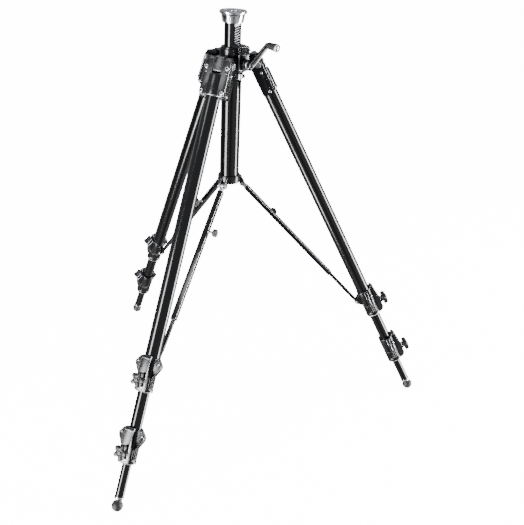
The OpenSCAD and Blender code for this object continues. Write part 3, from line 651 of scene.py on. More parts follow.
for tube, body in (("upper", "leg_"), ("middle", "middle_"), ("lower", "lower_")):
    low, high = box_in("leg_b_" + tube + "_tube", LEG["b"])
    guide = round(high.x, 2) if tube != "upper" else None
    shape = pipe(TUBE_RADIUS[tube], TUBE_WALL, low.z, high.z, guide)
    dress_legs(shape, tube + "_tube", ANODISED, body, tube + "_tube")

# %% [markdown]
# ## Outlines and edges
#
# A profile is easier to read when it is written as steps from a corner that matters, and a round
# stretch of it is a bow.

# %% Outlines
def from_corner(first, second, *steps):
    """Points, given as steps from a corner."""
    return [(first + aside, second + along) for aside, along in steps]


def bow(first, second, size, start, end, steps):
    """Points of a round stretch about a centre, by angle from the first direction."""
    angles = [math.radians(start + (end - start) * step / steps) for step in range(steps + 1)]
    return [(first + size * math.cos(angle), second + size * math.sin(angle)) for angle in angles]


print("half a round in four steps is", [round(along, 2) for along, _ in bow(0, 0, 1, 0, 180, 4)])

# %% [markdown]
# A cast, moulded or turned edge is never sharp, so every edge is rounded with a bevel. Its width is
# what tells a casting from a machined piece.

# %% Rounded edges
SMOOTH_ANGLE = 38  # degrees; a sharper turn between two faces stays a crease


def soften(made, width, segments=3, angle=32, wear_and_highlight=False):
    """Rounds every edge that turns by more than an angle, and shades the rest smooth."""
    pick(made)
    rounding = made.modifiers.new("rounding", "BEVEL")
    rounding.width = width * MM
    rounding.segments = segments
    rounding.limit_method = "ANGLE"
    rounding.angle_limit = math.radians(angle)
    # The rounded edges take the second finish: on enamel, bare metal that is wear and a painted highlight.
    rounding.material = int(wear_and_highlight)
    bpy.ops.object.modifier_apply(modifier=rounding.name)
    bpy.ops.object.shade_smooth_by_angle(angle=math.radians(SMOOTH_ANGLE))
    return made


def lathed(profile, width, wear_and_highlight=False, **shape):
    """A turned piece with its edges broken."""
    return soften(turned(profile, **shape), width, 2, wear_and_highlight=wear_and_highlight)


print("faces that turn by less than", SMOOTH_ANGLE, "degrees are shaded as one")

# %% [markdown]
# ## Feet
#
# A rubber ball on a short neck, plugged into the lowest tube. A bright ferrule keeps the tube's end
# from splitting the rubber. The shallow groove round the ball is where its mould closed. Ball and
# ferrule are round, so each is one turned profile.

# %% Feet
LEG_LENGTH = 955.2
BALL = 12.5
tube_end = box_in("leg_b_lower_tube", LEG["b"])[0].z
ball = [
    *bow(0, -LEG_LENGTH, BALL, -87, -24, 8),
    *from_corner(BALL, -LEG_LENGTH, (-1.6, -4.2), (-1.5, -3.4)),
    *bow(0, -LEG_LENGTH, BALL, -12, 50, 8),
    *from_corner(0, tube_end, (7.0, -5.0), (7.4, -2.6), (9.2, -1.8), (9.2, 0), (8.6, 0), (8.6, 17)),
]
dress_legs(lathed(ball, 0.25, sides=56), "foot", RUBBER, "lower_", "foot")
ferrule = from_corner(
    0, tube_end,
    (9.3, -1.6), (10.6, -1.2), (10.7, 2.8), (10.1, 3.4), (10.02, 3.0), (10.02, -0.2), (9.3, -0.2),
)
dress_legs(lathed(ferrule, 0.2, ring=True), "ferrule", ZINC, "lower_")

# %% [markdown]
# ## Socket screws
#
# The castings and clamps are held by bright socket screws: a low round head with a broken edge and a
# deep dark socket. The profile runs up the shank, over the head and down into the socket. A black disc at
# the socket's bottom is painted shade.

# %% Socket screws
HEAD = 2.6
SOCKET = 0.55  # share of the head's radius
SOCKET_DEPTH = 1.2


def socket_screw(seat, radius):
    """A screw along X whose head stands on a face at x = seat."""
    return lathed(from_corner(
        0, seat, (2.0, -9), (2.0, 0), (radius, 0), (radius, HEAD - 1.3), (radius - 0.5, HEAD - 0.5),
        (radius - 1.5, HEAD), (radius * SOCKET, HEAD), (radius * SOCKET, HEAD - SOCKET_DEPTH),
    ), 0.15, axis="X", sides=32)


def socket_shade_disc(seat, radius):
    """A black disc at the bottom of a screw's socket: painted shade."""
    wide, deep = radius * SOCKET - 0.1, HEAD - SOCKET_DEPTH
    steps = (wide, deep), (wide, deep + 0.3), (1, deep + 0.2)
    return turned(from_corner(0, seat, *steps), axis="X", sides=24)


print("a screw's socket is", SOCKET_DEPTH, "mm deep")

# %% [markdown]
# ## Holes and joins
#
# Holes, slots and slits are cut out before the edges are rounded, so that their edges are rounded
# too. Parts of one casting overlap a little where they are joined.

# %% Holes and joins
def cut(made, *cutters):
    """Takes the cutters' shapes out of a piece."""
    for cutter in cutters:
        pick(made)
        hole = made.modifiers.new("hole", "BOOLEAN")
        hole.object = cutter
        hole.operation = "DIFFERENCE"
        hole.solver = "EXACT"
        bpy.ops.object.modifier_apply(modifier=hole.name)
        bpy.data.objects.remove(cutter)
    return made


def joined(*parts):
    """Makes one piece of several."""
    pick(parts[0])
    for part in parts[1:]:
        part.select_set(True)
    if len(parts) > 1:
        bpy.ops.object.join()
    return parts[0]


print("a cutter is taken away after its cut, and joined parts are one piece")

# %% [markdown]
# ## Leg locks
#
# Each tube ends in a die cast lock: a barrel round both tubes, two ears that screws pull together,
# and a shell in front that takes the knob's thread. The barrel's lower half is ribbed for the
# fingers and ends in a bright rim.

# %% Lock barrels
LOCK_LENGTH = 75
LOCK_RIBS = 24
BARREL = 18


def lock_barrel(outer, inner):
    """The barrel round both tubes, with its ribs."""
    wall = lathed([
        (outer, -LOCK_LENGTH + 14), (outer, 0),
        *from_corner(BARREL, 0, (-0.8, 0), (0, -1.0), (0, -38), (-1.3, -40.5)),
        *from_corner(BARREL, 0, (-1.3, -65.5), (0.2, -67.5), (0.2, -73.6), (-1.0, -LOCK_LENGTH)),
        *from_corner(inner, -LOCK_LENGTH, (0.2, 0), (0.2, 14)),
    ], 0.4, sides=72, ring=True)
    rib = lathed([(0.7, -65), (1.5, -63.6), (1.5, -42.4), (0.7, -41)], 0.3, sides=10)
    turns = [Matrix.Rotation(math.tau * step / LOCK_RIBS, 4, "Z") for step in range(LOCK_RIBS)]
    return joined(wall, *copies(rib, [turn @ moved(x=BARREL - 1.5) for turn in turns]))


print("a barrel has", LOCK_RIBS, "ribs")

# %% [markdown]
# The ears are two plates with the clamp's gap between them, which shows as a dark line from the
# side. They are drawn as their right half and mirrored. The shell is an outline extruded across the
# leg, and the knob's boss stands on it.

# %% Ears, shells and rims
EAR_HALF = 30.5
EAR_FACE = 12
EAR_SCREW = (23.5, -11.5)
EAR_PLATES = ((-2, 4.4), (5.6, EAR_FACE))
KNOB_DROP = 46.5
KNOB_SEAT = 29.5
SHELL_HALF = 10.6
SHELL_BACK = 14.2


def mirrored(points):
    """An outline from its right half. A point on the middle line stays single."""
    return points + [(-first, second) for first, second in reversed(points) if first]


EARS = mirrored([
    (0, 0), (EAR_HALF - 10, 0), (EAR_HALF, -13.5), (EAR_HALF - 1, -20), (BARREL - 1, -43), (0, -43),
])
SHELL = [
    (SHELL_BACK, -LOCK_LENGTH + 0.5), *from_corner(KNOB_SEAT, -LOCK_LENGTH, (-12, 0.5), (-4, 4), (0, 12)),
    *from_corner(KNOB_SEAT, 0, (0, 8 - KNOB_DROP), (-4, -2), (-7, 4), (-11, 4)),
    (16.5, -0.5), (SHELL_BACK, -0.5),
]
RIM = from_corner(
    BARREL, -LOCK_LENGTH, (0.3, 2.6), (0.6, 2.2), (0.6, 1.0), (-0.8, -0.2), (-2.4, -0.2), (-2.4, 2.6),
)


def lock_body(outer, inner):
    """The barrel and the clamp plates of a lock, with its top at z = 0."""
    ears = joined(*[soften(plate(EARS, low, high), 0.8, wear_and_highlight=True) for low, high in EAR_PLATES])
    cut(ears, turned([(inner + 0.3, -60), (inner + 0.3, 10)], sides=72))
    return joined(lock_barrel(outer, inner), ears)


def lock_shell():
    """The front shell with the knob's boss."""
    shell = soften(plate(SHELL, -SHELL_HALF, SHELL_HALF, "Y"), 1.0, 3, 20, wear_and_highlight=True)
    boss = from_corner(0, KNOB_SEAT, (9.6, -3), (9.6, 0.4), (8.2, 1.6), (5.2, 1.6))
    return joined(shell, soften(turned(boss, axis="X", centre=(0, 0, -KNOB_DROP)), 0.4))


lock_tops = {}
for tube, outer, inner, body in (
    ("upper", TUBE_RADIUS["upper"], TUBE_RADIUS["middle"], "leg_"),
    ("lower", TUBE_RADIUS["middle"], TUBE_RADIUS["lower"], "middle_"),
):
    lock_tops[tube] = box_in("leg_b_" + tube + "_lock", LEG["b"])[1].z - 4
    at_lock = moved(z=lock_tops[tube])
    for made, part, finish, node in (
        (lock_body(outer, inner), "_lock", GREY_ENAMEL, tube + "_lock"),
        (lock_shell(), "_lock_shell", GREY_ENAMEL, None),
        (lathed(RIM, 0.3, sides=72, ring=True), "_lock_rim", SATIN, None),
    ):
        dress_legs(placed(made, at_lock), tube + part, finish, body, node)

# %% [markdown]
# ### Screws
#
# Each ear has its screw, and the casting's cover at the top of the leg has four larger ones. They
# differ only in size and place, so for each lock one of a size is turned and copied to its places.

# %% Screws of the locks and covers
EAR_HEAD = 3.3
COVER_HEAD = 4.8
COVER_FACE = 14
COVER_SCREW_Y = 24
COVER_SPOTS = [moved(y=side * COVER_SCREW_Y, z=height) for side in (-1, 1) for height in (-9, -61)]

for tube, prefix, body in (("lower", "lower_lock_", "middle_"), ("upper", "upper_", "leg_")):
    ear_spots = [moved(y=side * EAR_SCREW[0], z=lock_tops[tube] + EAR_SCREW[1]) for side in (-1, 1)]
    # Each screw gets a black disc in its socket, painted shade.
    for make, name, finish in ((socket_screw, "screws", ZINC), (socket_shade_disc, "sockets", NYLON)):
        parts = copies(make(EAR_FACE, EAR_HEAD), ear_spots)
        if tube == "upper":
            parts += copies(make(COVER_FACE, COVER_HEAD), COVER_SPOTS)
        node = "screws" if (tube, name) == ("upper", "screws") else None
        dress_legs(joined(*parts), prefix + name, finish, body, node)

# %% [markdown]
# The upper lock also carries two cheeks on its inner side, with a pin through them that the strut
# hangs on. The pin's two ends are alike, so one is turned and mirrored. A mirrored piece is inside
# out, so its normals are turned back.

# %% Brackets
BRACKET = (-27, -655)


def both_sides(made):
    """A piece together with its mirror image across Y."""
    right, left = copies(made, (PLAIN, Matrix.Scale(-1, 4, (0, 1, 0))))
    left.data.flip_normals()
    return joined(right, left)


cheek = from_corner(
    *BRACKET, (-1, 6), (10.5, 16), (13, 16), (13, -16), (10.5, -16), (-1, -6), (-5, -3), (-5, 3),
)
cheeks = [soften(plate(cheek, low, low + 3.2, "Y"), 0.7) for low in (3.4, -6.6)]
dress_legs(joined(*cheeks), "strut_cheeks", GREY_ENAMEL, "leg_")
rivet = turned(
    [(2.2, -7.2), (3.4, -7.2), (3.4, -8.2), (2.6, -8.9)], "Y", (BRACKET[0], 0, BRACKET[1]), sides=32,
)
dress_legs(soften(both_sides(rivet), 0.2, 2), "strut_rivets", ZINC, "leg_")

# %% [markdown]
# ## Lock knobs
#
# Moulded knobs with five broad lobes round a hub. The outline is one formula: the radius swells once
# for each lobe. The blackened end of the stud shows in the middle of its face.

# %% Lock knobs
LOBES = 5
LOBE_STEPS = 14
LOBE_TIP = 17
LOBE_ROOT = 10.4
KNOB_BASE = KNOB_SEAT + 5
KNOB_FACE = KNOB_BASE + 11


def raise_front(made, *steps):
    """Draws the faces that look along X in by a margin and lifts them, once for each (margin, lift)."""
    pick(made)
    bpy.ops.object.mode_set(mode="EDIT")
    bpy.ops.mesh.select_mode(type="FACE")
    bpy.ops.mesh.select_all(action="DESELECT")
    bpy.ops.object.mode_set(mode="OBJECT")
    for face in made.data.polygons:
        face.select = face.normal.x > 0.9
    bpy.ops.object.mode_set(mode="EDIT")
    for margin, lift in steps:
        bpy.ops.mesh.inset(thickness=margin * MM, depth=lift * MM)
    bpy.ops.mesh.select_mode(type="VERT")
    bpy.ops.object.mode_set(mode="OBJECT")
    return made


def lobe_point(angle):
    """A point of the knob's outline."""
    swell = (1 + math.cos(LOBES * angle)) / 2
    radius = LOBE_ROOT + (LOBE_TIP - LOBE_ROOT) * swell ** 0.8
    return radius * math.cos(angle), radius * math.sin(angle)


def lock_knob():
    """The knob, along X."""
    count = LOBES * LOBE_STEPS
    body = plate([lobe_point(math.tau * step / count) for step in range(count)], KNOB_BASE, KNOB_FACE - 1.8)
    soften(raise_front(body, (3.6, 1.8)), 1.2, 4, 50)
    hub = lathed([
        (7.2, KNOB_SEAT + 1.7), (7.8, KNOB_SEAT + 2.4), (7.8, KNOB_BASE + 1), (8.4, KNOB_BASE + 1),
        *from_corner(0, KNOB_FACE, (8.4, 0.4), (7.8, 1.0), (5.2, 0), (4.8, -0.4)),
    ], 0.2, axis="X")
    return joined(body, hub)


STUD = from_corner(0, KNOB_FACE, (2.6, -1), (3.3, -0.2), (3.3, 0.5), (2.4, 0.6), (2.0, 1.4))
for tube, body in (("upper", "upper_knob_"), ("lower", "lower_knob_")):
    drop = lock_tops[tube] - KNOB_DROP
    knob = placed(lock_knob(), moved(z=drop))
    dress_legs(knob, tube + "_knob", NYLON, body, tube + "_knob")
    stud = lathed(STUD, 0.15, axis="X", centre=(0, 0, drop), sides=32)
    dress_legs(stud, tube + "_knob_stud", BLACK_ENAMEL, body)

# %% [markdown]
# ## Leg castings
#
# At the top each tube is held in a casting: two cheeks that swing on the crown's lug, and a block
# slit down both sides that clamps the tube. A cover is screwed on its front, bulged over the tube.
# The casting is an outline extruded across the leg, and what isn't there is cut out of it.

# %% Leg castings
CAST_HALF = 30
CAST_BACK = 17
CAST_FRONT = 9
CAST_LENGTH = 71
CAST_ROUND = 17.5
LUG_HALF = 10.6
LUG_FLOOR = 20.8
TUBE_START = -22
BORE_RADIUS = 16.05


def block(low, high):
    """A box between two corners."""
    corners = [(low[1], low[2]), (high[1], low[2]), (high[1], high[2]), (low[1], high[2])]
    return plate(corners, low[0], high[0])


def lug_room():
    """The room between the cheeks."""
    return block((-30, -LUG_HALF, -LUG_FLOOR), (30, LUG_HALF, 60))


front_angle = math.degrees(math.acos(CAST_FRONT / CAST_ROUND))
casting = plate([
    (CAST_FRONT, -CAST_LENGTH), (CAST_FRONT, 0), *bow(0, 0, CAST_ROUND, front_angle, 166, 14),
    (-CAST_BACK, 3), *from_corner(-CAST_BACK, -CAST_LENGTH, (0, 5), (1.5, 1.5), (5, 0)),
], -CAST_HALF, CAST_HALF, "Y")
bore = turned([(BORE_RADIUS, -CAST_LENGTH - 5), (BORE_RADIUS, TUBE_START)], sides=72)
slits = [
    block((0.8, low, -CAST_LENGTH - 4), (1.8, high, TUBE_START - 4)) for low, high in ((-45, -12), (12, 45))
]
cut(casting, lug_room(), bore, *slits)
soften(casting, 1.1, 3, 30, wear_and_highlight=True)
hinge = from_corner(0, CAST_HALF, (8.0, -1), (8.0, 0.3), (7.4, 0.9), (6.2, 0.9), (5.8, 0.4), (5.2, 0.4))
bosses = both_sides(lathed(hinge, 0.5, wear_and_highlight=True, axis="Y", sides=48))
dress_legs(joined(casting, bosses), "casting", BLACK_ENAMEL, "leg_", "casting")

# %% [markdown]
# On each cheek a bright screw closes the clamp at its top and one at its foot, with a black disc
# between them that is painted shade for a hole. They are made for one cheek and mirrored to the other.

# %% Side screws
side_head = from_corner(0, CAST_HALF, (3.0, -0.6), (3.0, 0.7), (2.4, 1.2), (1.4, 1.2), (1.4, 0.4))
side_screws = [lathed(side_head, 0.15, axis="Y", centre=(0, 0, z), sides=28) for z in (-20.5, -64.5)]
dress_legs(both_sides(joined(*side_screws)), "side_screws", ZINC, "leg_")
# A black disc on each cheek: painted shade that stands for a hole.
painted_hole_shade = from_corner(0, CAST_HALF, (2.9, -0.5), (2.9, 0.12), (0.5, 0.1))
side_holes = both_sides(turned(painted_hole_shade, axis="Y", centre=(1, 0, -29), sides=24))
dress_legs(side_holes, "side_holes", NYLON, "leg_")

# %% [markdown]
# The cover is thinner at its edges and bulges over the tube. Its lower edge is a rolled lip. Its four
# screws sit on raised pads, and under the upper two there is a short tab. The flat part's outline is
# drawn for one half and mirrored. The bulge and the lip are turned rings with their backs cut away.

# %% Covers
COVER_LOW = 9.2
COVER_BARREL = 19.5


def behind(depth):
    """Everything behind an upright plane."""
    return block((-40, -40, -90), (depth, 40, 10))


flange = plate(mirrored([
    *from_corner(CAST_HALF, -CAST_LENGTH, (-6, 2), (-1.8, 3.8), (0, 8)),
    *from_corner(CAST_HALF, 0, (0, 2), (-3, 7.5), (-8, 9.6)),
]), COVER_LOW, COVER_FACE)
soften(cut(flange, lug_room()), 1.1, 3, 30, wear_and_highlight=True)
bulge = turned([
    (16.4, -CAST_LENGTH + 4), (COVER_BARREL, -CAST_LENGTH + 4), (COVER_BARREL, TUBE_START - 2),
    (COVER_BARREL - 1.4, TUBE_START - 0.2), (16.4, TUBE_START - 0.2),
], sides=96, ring=True)
soften(cut(bulge, behind(COVER_LOW)), 0.4, 2, 35)
pad = lathed(from_corner(0, COVER_FACE, (6.4, -1), (6.4, -0.2), (5.9, 0.1)), 0.2, axis="X", sides=40)
cover = joined(flange, bulge, *copies(pad, COVER_SPOTS))
dress_legs(cover, "cover", GREY_ENAMEL, "leg_", "cover")
lip = turned(from_corner(
    COVER_BARREL, -CAST_LENGTH, (-3.2, 2.6), (-0.9, 1.4), (0.4, 2), (0.8, 3.4), (0.2, 5), (-3.2, 5),
), sides=96, ring=True)
cut(lip, behind(COVER_LOW + 0.4))
dress_legs(soften(lip, 0.3, 2, 35), "cover_lip", FACED, "leg_")
tab = soften(block((COVER_FACE - 0.5, -3.6, -21), (COVER_FACE + 0.7, 3.6, -14.6)), 0.4, 2, wear_and_highlight=True)
tabs = copies(tab, [moved(y=side * COVER_SCREW_Y) for side in (-1, 1)])
dress_legs(joined(*tabs), "cover_tabs", GREY_ENAMEL, "leg_")

# %% [markdown]
# ## Crown
#
# The crown is the die casting that everything meets in: a core round the column, three lugs for the
# legs, the case of the gear drive and the long boss of the crank's shaft. Its lower flange stands
# proud. The core is turned, the lugs and the case are plates.

# %% Crown
SLEEVE_ROOM = 21.75
COLUMN_ROOM = 18.35
CORE = 27.5
LUG_WIDE = 10.2
LUG_ROUND = 19.2
LUG_FACE = 12
CASE_HALF = 12.8
crown_z, crown_top = (corner.z for corner in box_in("crown", PLAIN))
case_low, case_high = box_in("gear_housing", UPRIGHT)
pivot = (LEG["b"].to_translation().x / MM, LEG["b"].to_translation().z / MM)

core = lathed([
    (SLEEVE_ROOM, crown_z + 8), (SLEEVE_ROOM, crown_z),
    *from_corner(CORE, crown_z, (4, 0), (5, 1), (5, 4), (4, 5), (0, 5.6)),
    *from_corner(CORE, crown_top, (0, -4.2), (-1, -3.4), (-3, -3.2), (-3, -0.8), (-4, 0)),
    (COLUMN_ROOM + 0.6, crown_top), (COLUMN_ROOM, crown_top - 0.6), (COLUMN_ROOM, crown_z + 8),
], 0.4, sides=96, ring=True)
# The lug is round, with a flat that lies along the spread leg.
lean = -math.degrees(LEG["b"].to_euler().y)
flat = math.degrees(math.acos(LUG_FACE / LUG_ROUND))
lug = plate([
    (CORE - 6, crown_z + 1), *bow(*pivot, LUG_ROUND, -90, lean - flat, 8),
    *bow(*pivot, LUG_ROUND, lean + flat, 92, 2), (CORE - 6, crown_top - 14.4),
], -LUG_WIDE, LUG_WIDE, "Y")
lugs = copies(soften(lug, 1.2, 3, 30, wear_and_highlight=True), AROUND.values())
case = block((20, -CASE_HALF, crown_z + 8), (case_high.x - 1, CASE_HALF, crown_top - 0.4))
soften(case, 1.6, 3, wear_and_highlight=True)
crank_boss = lathed([
    (12.2, 26), (12.2, 42), (10.5, 44), (10.5, 54.5), (11.0, 55.5), (11.0, 58.2), (10.2, 59), (5.2, 59),
], 0.4, axis="X")
crown = joined(core, *lugs, placed(case, UPRIGHT), placed(crank_boss, DRIVE))
dress(crown, "crown_casting", BLACK_ENAMEL, "crown_body", ("crown",))
print("crown stands from", round(crown_z, 1), "to", round(crown_top, 1), "mm")

# %% [markdown]
# The flats of the lugs and the web under the boss are faced, so they are brighter than the enamel.
# The cutter leaves fine lines on the flats. A zigzag outline, extruded along the flat, gives it real
# ridges, which catch the light better than a pattern in the finish would.

# %% Faced places
LINES = 12
LINE_PITCH = 1.55
FLAT_HALF = LINES * LINE_PITCH / 2
WEB_HALF = 5.1
WEB_TOP = 858
lines = [
    (LUG_FACE - 0.5 if step % 2 else LUG_FACE + 0.15, step * LINE_PITCH - FLAT_HALF)
    for step in range(LINES + 1)
]
flat_face = plate(lines + [(LUG_FACE - 1, FLAT_HALF), (LUG_FACE - 1, -FLAT_HALF)], -15.5, 1.5, "Z")
web = plate(
    [(CORE - 3, crown_z + 0.4), (59, 854.7), (59, WEB_TOP), (CORE - 3, WEB_TOP)], -WEB_HALF, WEB_HALF, "Y",
)
faced = joined(*copies(flat_face, LEG.values()), placed(soften(web, 0.8), UPRIGHT))
dress(faced, "faced_places", SATIN, "crown_body")
print("the flats have", LINES, "lines each")

# %% [markdown]
# The gear drive's cover is a box with rounded edges and a sunk front. Its front is inset and pushed
# in, and it opens towards the column, where the room for the crown's core and the column is cut out of
# it. The cross shaft's end stands out at its side.

# %% Gear cover
ROUND = 6
outline = []
for side, end, start in (
    (case_high.y - ROUND, case_high.z - ROUND, 0), (case_low.y + ROUND, case_high.z - ROUND, 90),
    (case_low.y + ROUND, case_low.z + ROUND, 180), (case_high.y - ROUND, case_low.z + ROUND, 270),
):
    outline += bow(side, end, ROUND, start, start + 90, 5)
cover = raise_front(plate(outline, case_low.x, case_high.x), (2.4, 0), (0.6, -0.8))
cut(
    cover,
    turned([(CORE - 2.6, case_low.z - 4), (CORE - 2.6, crown_top + 0.2)], sides=96),
    turned([(19.6, case_low.z - 4), (19.6, case_high.z + 5)], sides=96),
)
soften(cover, 1.1, 4, 30, wear_and_highlight=True)
dress(cover, "gear_cover", BLACK_ENAMEL, "crown_body", ("gear_housing",), UPRIGHT)
shaft = joint_in("wheel_turn", UPRIGHT)
shaft_end = lathed(
    [(2.2, 14.0), (4.1, 14.0), (4.1, 27.0), (3.4, 28.2)], 0.25,
    axis="Y", centre=(shaft.x, 0, shaft.z), sides=36,
)
dress(shaft_end, "shaft_end", ZINC, "wheel", (), UPRIGHT)
print("gear cover stands", round(case_high.x, 1), "mm out from the column's middle")

# %% [markdown]
# ## Crank
#
# A flat arm that is thick at its hub and thinner towards the grip. A wedge cut from its back thins
# it, and a bright ring sits between its hub and the boss.

# %% Crank arm
HUB_X = 59.4
CRANK_X = 68
CRANK_FACE = CRANK_X + 7
HUB = 6.1
ARM_END = 5.1
grip_spot = joint_in("grip_turn", DRIVE)
crank_length = math.hypot(grip_spot.y, grip_spot.z)
crank_angle = math.atan2(grip_spot.z, grip_spot.y)

arm_outline = bow(0, 0, HUB, 97, 263, 12) + bow(crank_length, 0, ARM_END, -88, 88, 12)
arm = plate(arm_outline, HUB_X, CRANK_FACE)
thinned = [(HUB_X - 5, HUB), (HUB_X, HUB), (CRANK_X, 34), (CRANK_X, crank_length + 9)]
cut(arm, plate(thinned + [(HUB_X - 5, crank_length + 9)], -12, 12, "Z"))
placed(soften(arm, 0.9, 3, 30, wear_and_highlight=True), Matrix.Rotation(crank_angle, 4, "X"))
end_cap = lathed(from_corner(0, CRANK_FACE, (4.9, -0.4), (4.9, 0.8), (4.2, 1.5)), 0.3, axis="X", sides=40)
dress(joined(arm, end_cap), "crank_lever", BLACK_ENAMEL, "crank", ("crank_arm",), DRIVE)
crank_ring = lathed(from_corner(
    0, HUB_X, (6.0, 0.2), (7.6, 0.2), (7.6, 2.6), (6.9, 3.2), (6.9, 5.4), (6.0, 5.8),
), 0.25, axis="X", sides=48, ring=True)
dress(crank_ring, "crank_ring", ZINC, "crank", (), DRIVE)
print("crank is", round(crank_length, 1), "mm long, at", round(math.degrees(crank_angle), 1), "degrees")

# %% [markdown]
# The grip turns freely on its spindle. It is moulded with ribs round it and widens a little towards
# its end. The ribs could be rings added one by one, but a profile that runs in and out along the grip
# makes all of them in one turned piece, each a little wider than the last.

# %% Grip
GRIP_BASE = 7.1
GRIP_TIP = 8.5
GRIP_LENGTH = 28
GRIP_RIBS = 9
SPINDLE = 3.0
grip_x = CRANK_FACE + 0.4
grip_end = grip_x + GRIP_LENGTH
pitch = (GRIP_LENGTH - 4) / GRIP_RIBS
grip_profile = [(SPINDLE + 0.05, grip_end), (SPINDLE + 0.05, grip_x)]
grip_profile += from_corner(GRIP_BASE, grip_x, (-1.4, 0), (-0.4, 1))
for rib in range(GRIP_RIBS):
    start = 1.4 + rib * pitch
    wide = GRIP_BASE + (GRIP_TIP - GRIP_BASE) * (start + pitch) / GRIP_LENGTH
    steps = (-1.0, 0), (0, 0.6), (0, pitch - 1.2), (-1.0, pitch - 0.6)
    grip_profile += from_corner(wide, grip_x + start, *steps)
grip_profile += from_corner(GRIP_TIP, grip_end, (0, -2), (-0.4, -0.4), (-1.4, 0))
AT_GRIP = DRIVE @ moved(y=grip_spot.y, z=grip_spot.z)
grip = lathed(grip_profile, 0.15, axis="X", sides=48, ring=True)
dress(grip, "grip_sleeve", RUBBER, "grip", ("crank_grip",), AT_GRIP)
print("grip has", GRIP_RIBS, "ribs,", round(pitch, 1), "mm apart")

# %% [markdown]
# A slotted steel cap keeps the grip on its spindle. It is turned, and the slot is cut across it
# afterwards, because turning alone can't make one. A thin black ring at the bottom of the round groove
# in its face is painted shade that makes the groove look deep.

# %% Grip cap
CAP = 8.1
CAP_GROOVE = 2.4  # how far the bottom of its round groove lies above the cap's foot
cap_x = grip_end + 0.4
cap = turned([(SPINDLE, CRANK_X), (SPINDLE, cap_x), *from_corner(
    CAP, cap_x, (-0.4, 0), (0, 0.6), (0, 2.4), (-0.9, 3.4), (-1.6, 3.4),
    (-1.8, CAP_GROOVE), (-4.4, CAP_GROOVE), (-4.6, 3.4),
)], axis="X", sides=56)
cut(cap, block((cap_x + CAP_GROOVE, -6, -0.8), (cap_x + 5, 6, 0.8)))
dress(soften(cap, 0.2, 2), "grip_cap", ZINC, "crank", ("grip_spindle",), AT_GRIP)
# A black ring at the groove's bottom: painted shade.
groove = from_corner(CAP, cap_x + CAP_GROOVE, (-4.4, -0.2), (-1.8, -0.2), (-1.8, 0.2), (-4.4, 0.2))
cap_groove = turned(groove, axis="X", sides=48, ring=True)
dress(cap_groove, "cap_groove", NYLON, "crank", (), AT_GRIP)
print("cap's foot is at", round(cap_x, 1), "mm along the crank's shaft")

# %% [markdown]
# ## Top plate and cup
#
# Both are turned from aluminium and polished. The plate's top is recessed inside a rim, with a
# threaded spigot in the middle. The cup widens from the column to the plate and is slit, so that a
# screw can clamp it on the column.

# %% Top plate and cup
THREAD = 4.76
CUP_ROOM = 18.32
plate_high = box_in("top_plate", PLAIN)[1]
rim, top = plate_high.x, plate_high.z
cup_z, seat = (corner.z for corner in box_in("column_cup", PLAIN))
disc = lathed([
    (THREAD, seat - 5), (8.0, seat - 5), (8.0, seat), *from_corner(rim, seat, (-2, 0), (-0.5, 0.6), (0, 2)),
    *from_corner(rim, top, (0, -1.2), (-1.2, 0), (-3.6, 0), (-4, -0.4), (-4.2, -1.2)),
    *from_corner(0, top, (15.5, -1.2), (15.0, -1.5), (14.5, -1.2), (8.4, -1.2), (8.0, -0.8), (8.0, -0.2)),
    *from_corner(0, top, (7.6, 0), (THREAD + 0.8, 0), (THREAD, -0.8)),
], 0.2, sides=128, ring=True)
dress(disc, "plate_disc", TURNED, "column", ("top_plate",))
face = turned([
    *from_corner(0, top, (9.0, -1.4), (rim - 4.6, -1.4), (rim - 4.8, -0.9)),
    *from_corner(0, top, (24.4, -0.9), (24.0, -1.1), (23.6, -0.9)),
    *from_corner(0, top, (13.4, -0.9), (13.0, -1.1), (12.6, -0.9), (9.2, -0.9)),
], sides=96, ring=True)
dress(soften(face, 0.1, 1), "plate_face", SATIN, "column")
cup = turned([
    *from_corner(0, cup_z, (CUP_ROOM, 0), (21.4, 0), (22.6, 0.5), (23.1, 1.6), (23.8, 6), (24.8, 12)),
    *from_corner(0, seat, (25.5, -2.4), (25.3, -1.8), (24.0, -1.6), (24.0, 0), (CUP_ROOM, 0)),
], sides=128, ring=True)
slot_turn = Matrix.Rotation(math.radians(247.5), 4, "Z")
cut(cup, placed(block((17, -1.3, cup_z + 4), (30, 1.3, seat - 4)), slot_turn))
dress(soften(cup, 0.35, 3, 34), "plate_cup", TURNED, "column", ("column_cup",))
# A black ring under the plate's rim: painted shade that draws the dark line between the rim and the cup.
rim_shade_ring = from_corner(0, seat, (23.5, -1.5), (24.3, -1.5), (24.3, 0.2), (23.5, 0.2))
dress(turned(rim_shade_ring, sides=96, ring=True), "plate_gasket", RUBBER, "column")
print("plate's top is at", round(top, 1), "mm")

# %% [markdown]
# A black slab lies in the gaps between the rack's teeth, at their roots: painted shade that makes the
# gaps look deep. The teeth of the engineering model are fine as they are, so they only get a finish.
# The slab shows only in the gaps.

# %% Rack
TOOTH_DEPTH = 3.3
GAP_SHADE_DEPTH = 0.35
GAP_SHADE_INSET = 0.2
rack_low, rack_high = box_in("column_rack", UPRIGHT)
# A black slab at the roots of the teeth: painted shade in the gaps.
gap_shade = block(
    (rack_low.x, rack_low.y + GAP_SHADE_INSET, rack_low.z + GAP_SHADE_INSET),
    (rack_high.x - TOOTH_DEPTH + GAP_SHADE_DEPTH, rack_high.y - GAP_SHADE_INSET, rack_high.z - GAP_SHADE_INSET),
)
dress(gap_shade, "rack_grease", RUBBER, "column", (), UPRIGHT)
# The dark slab between the teeth is painted shade.
print("grease lies", GAP_SHADE_DEPTH, "mm deep between the teeth")

# %% [markdown]
# ## Spreader
#
# A ring on the sleeve's foot carries three forks. From each a strut runs down to its leg: a channel
# with a rod that slides in it, and a thumb screw that sets its length. The channel is open along the
# screw's slot, which shows as a dark line with the bright rod behind it.

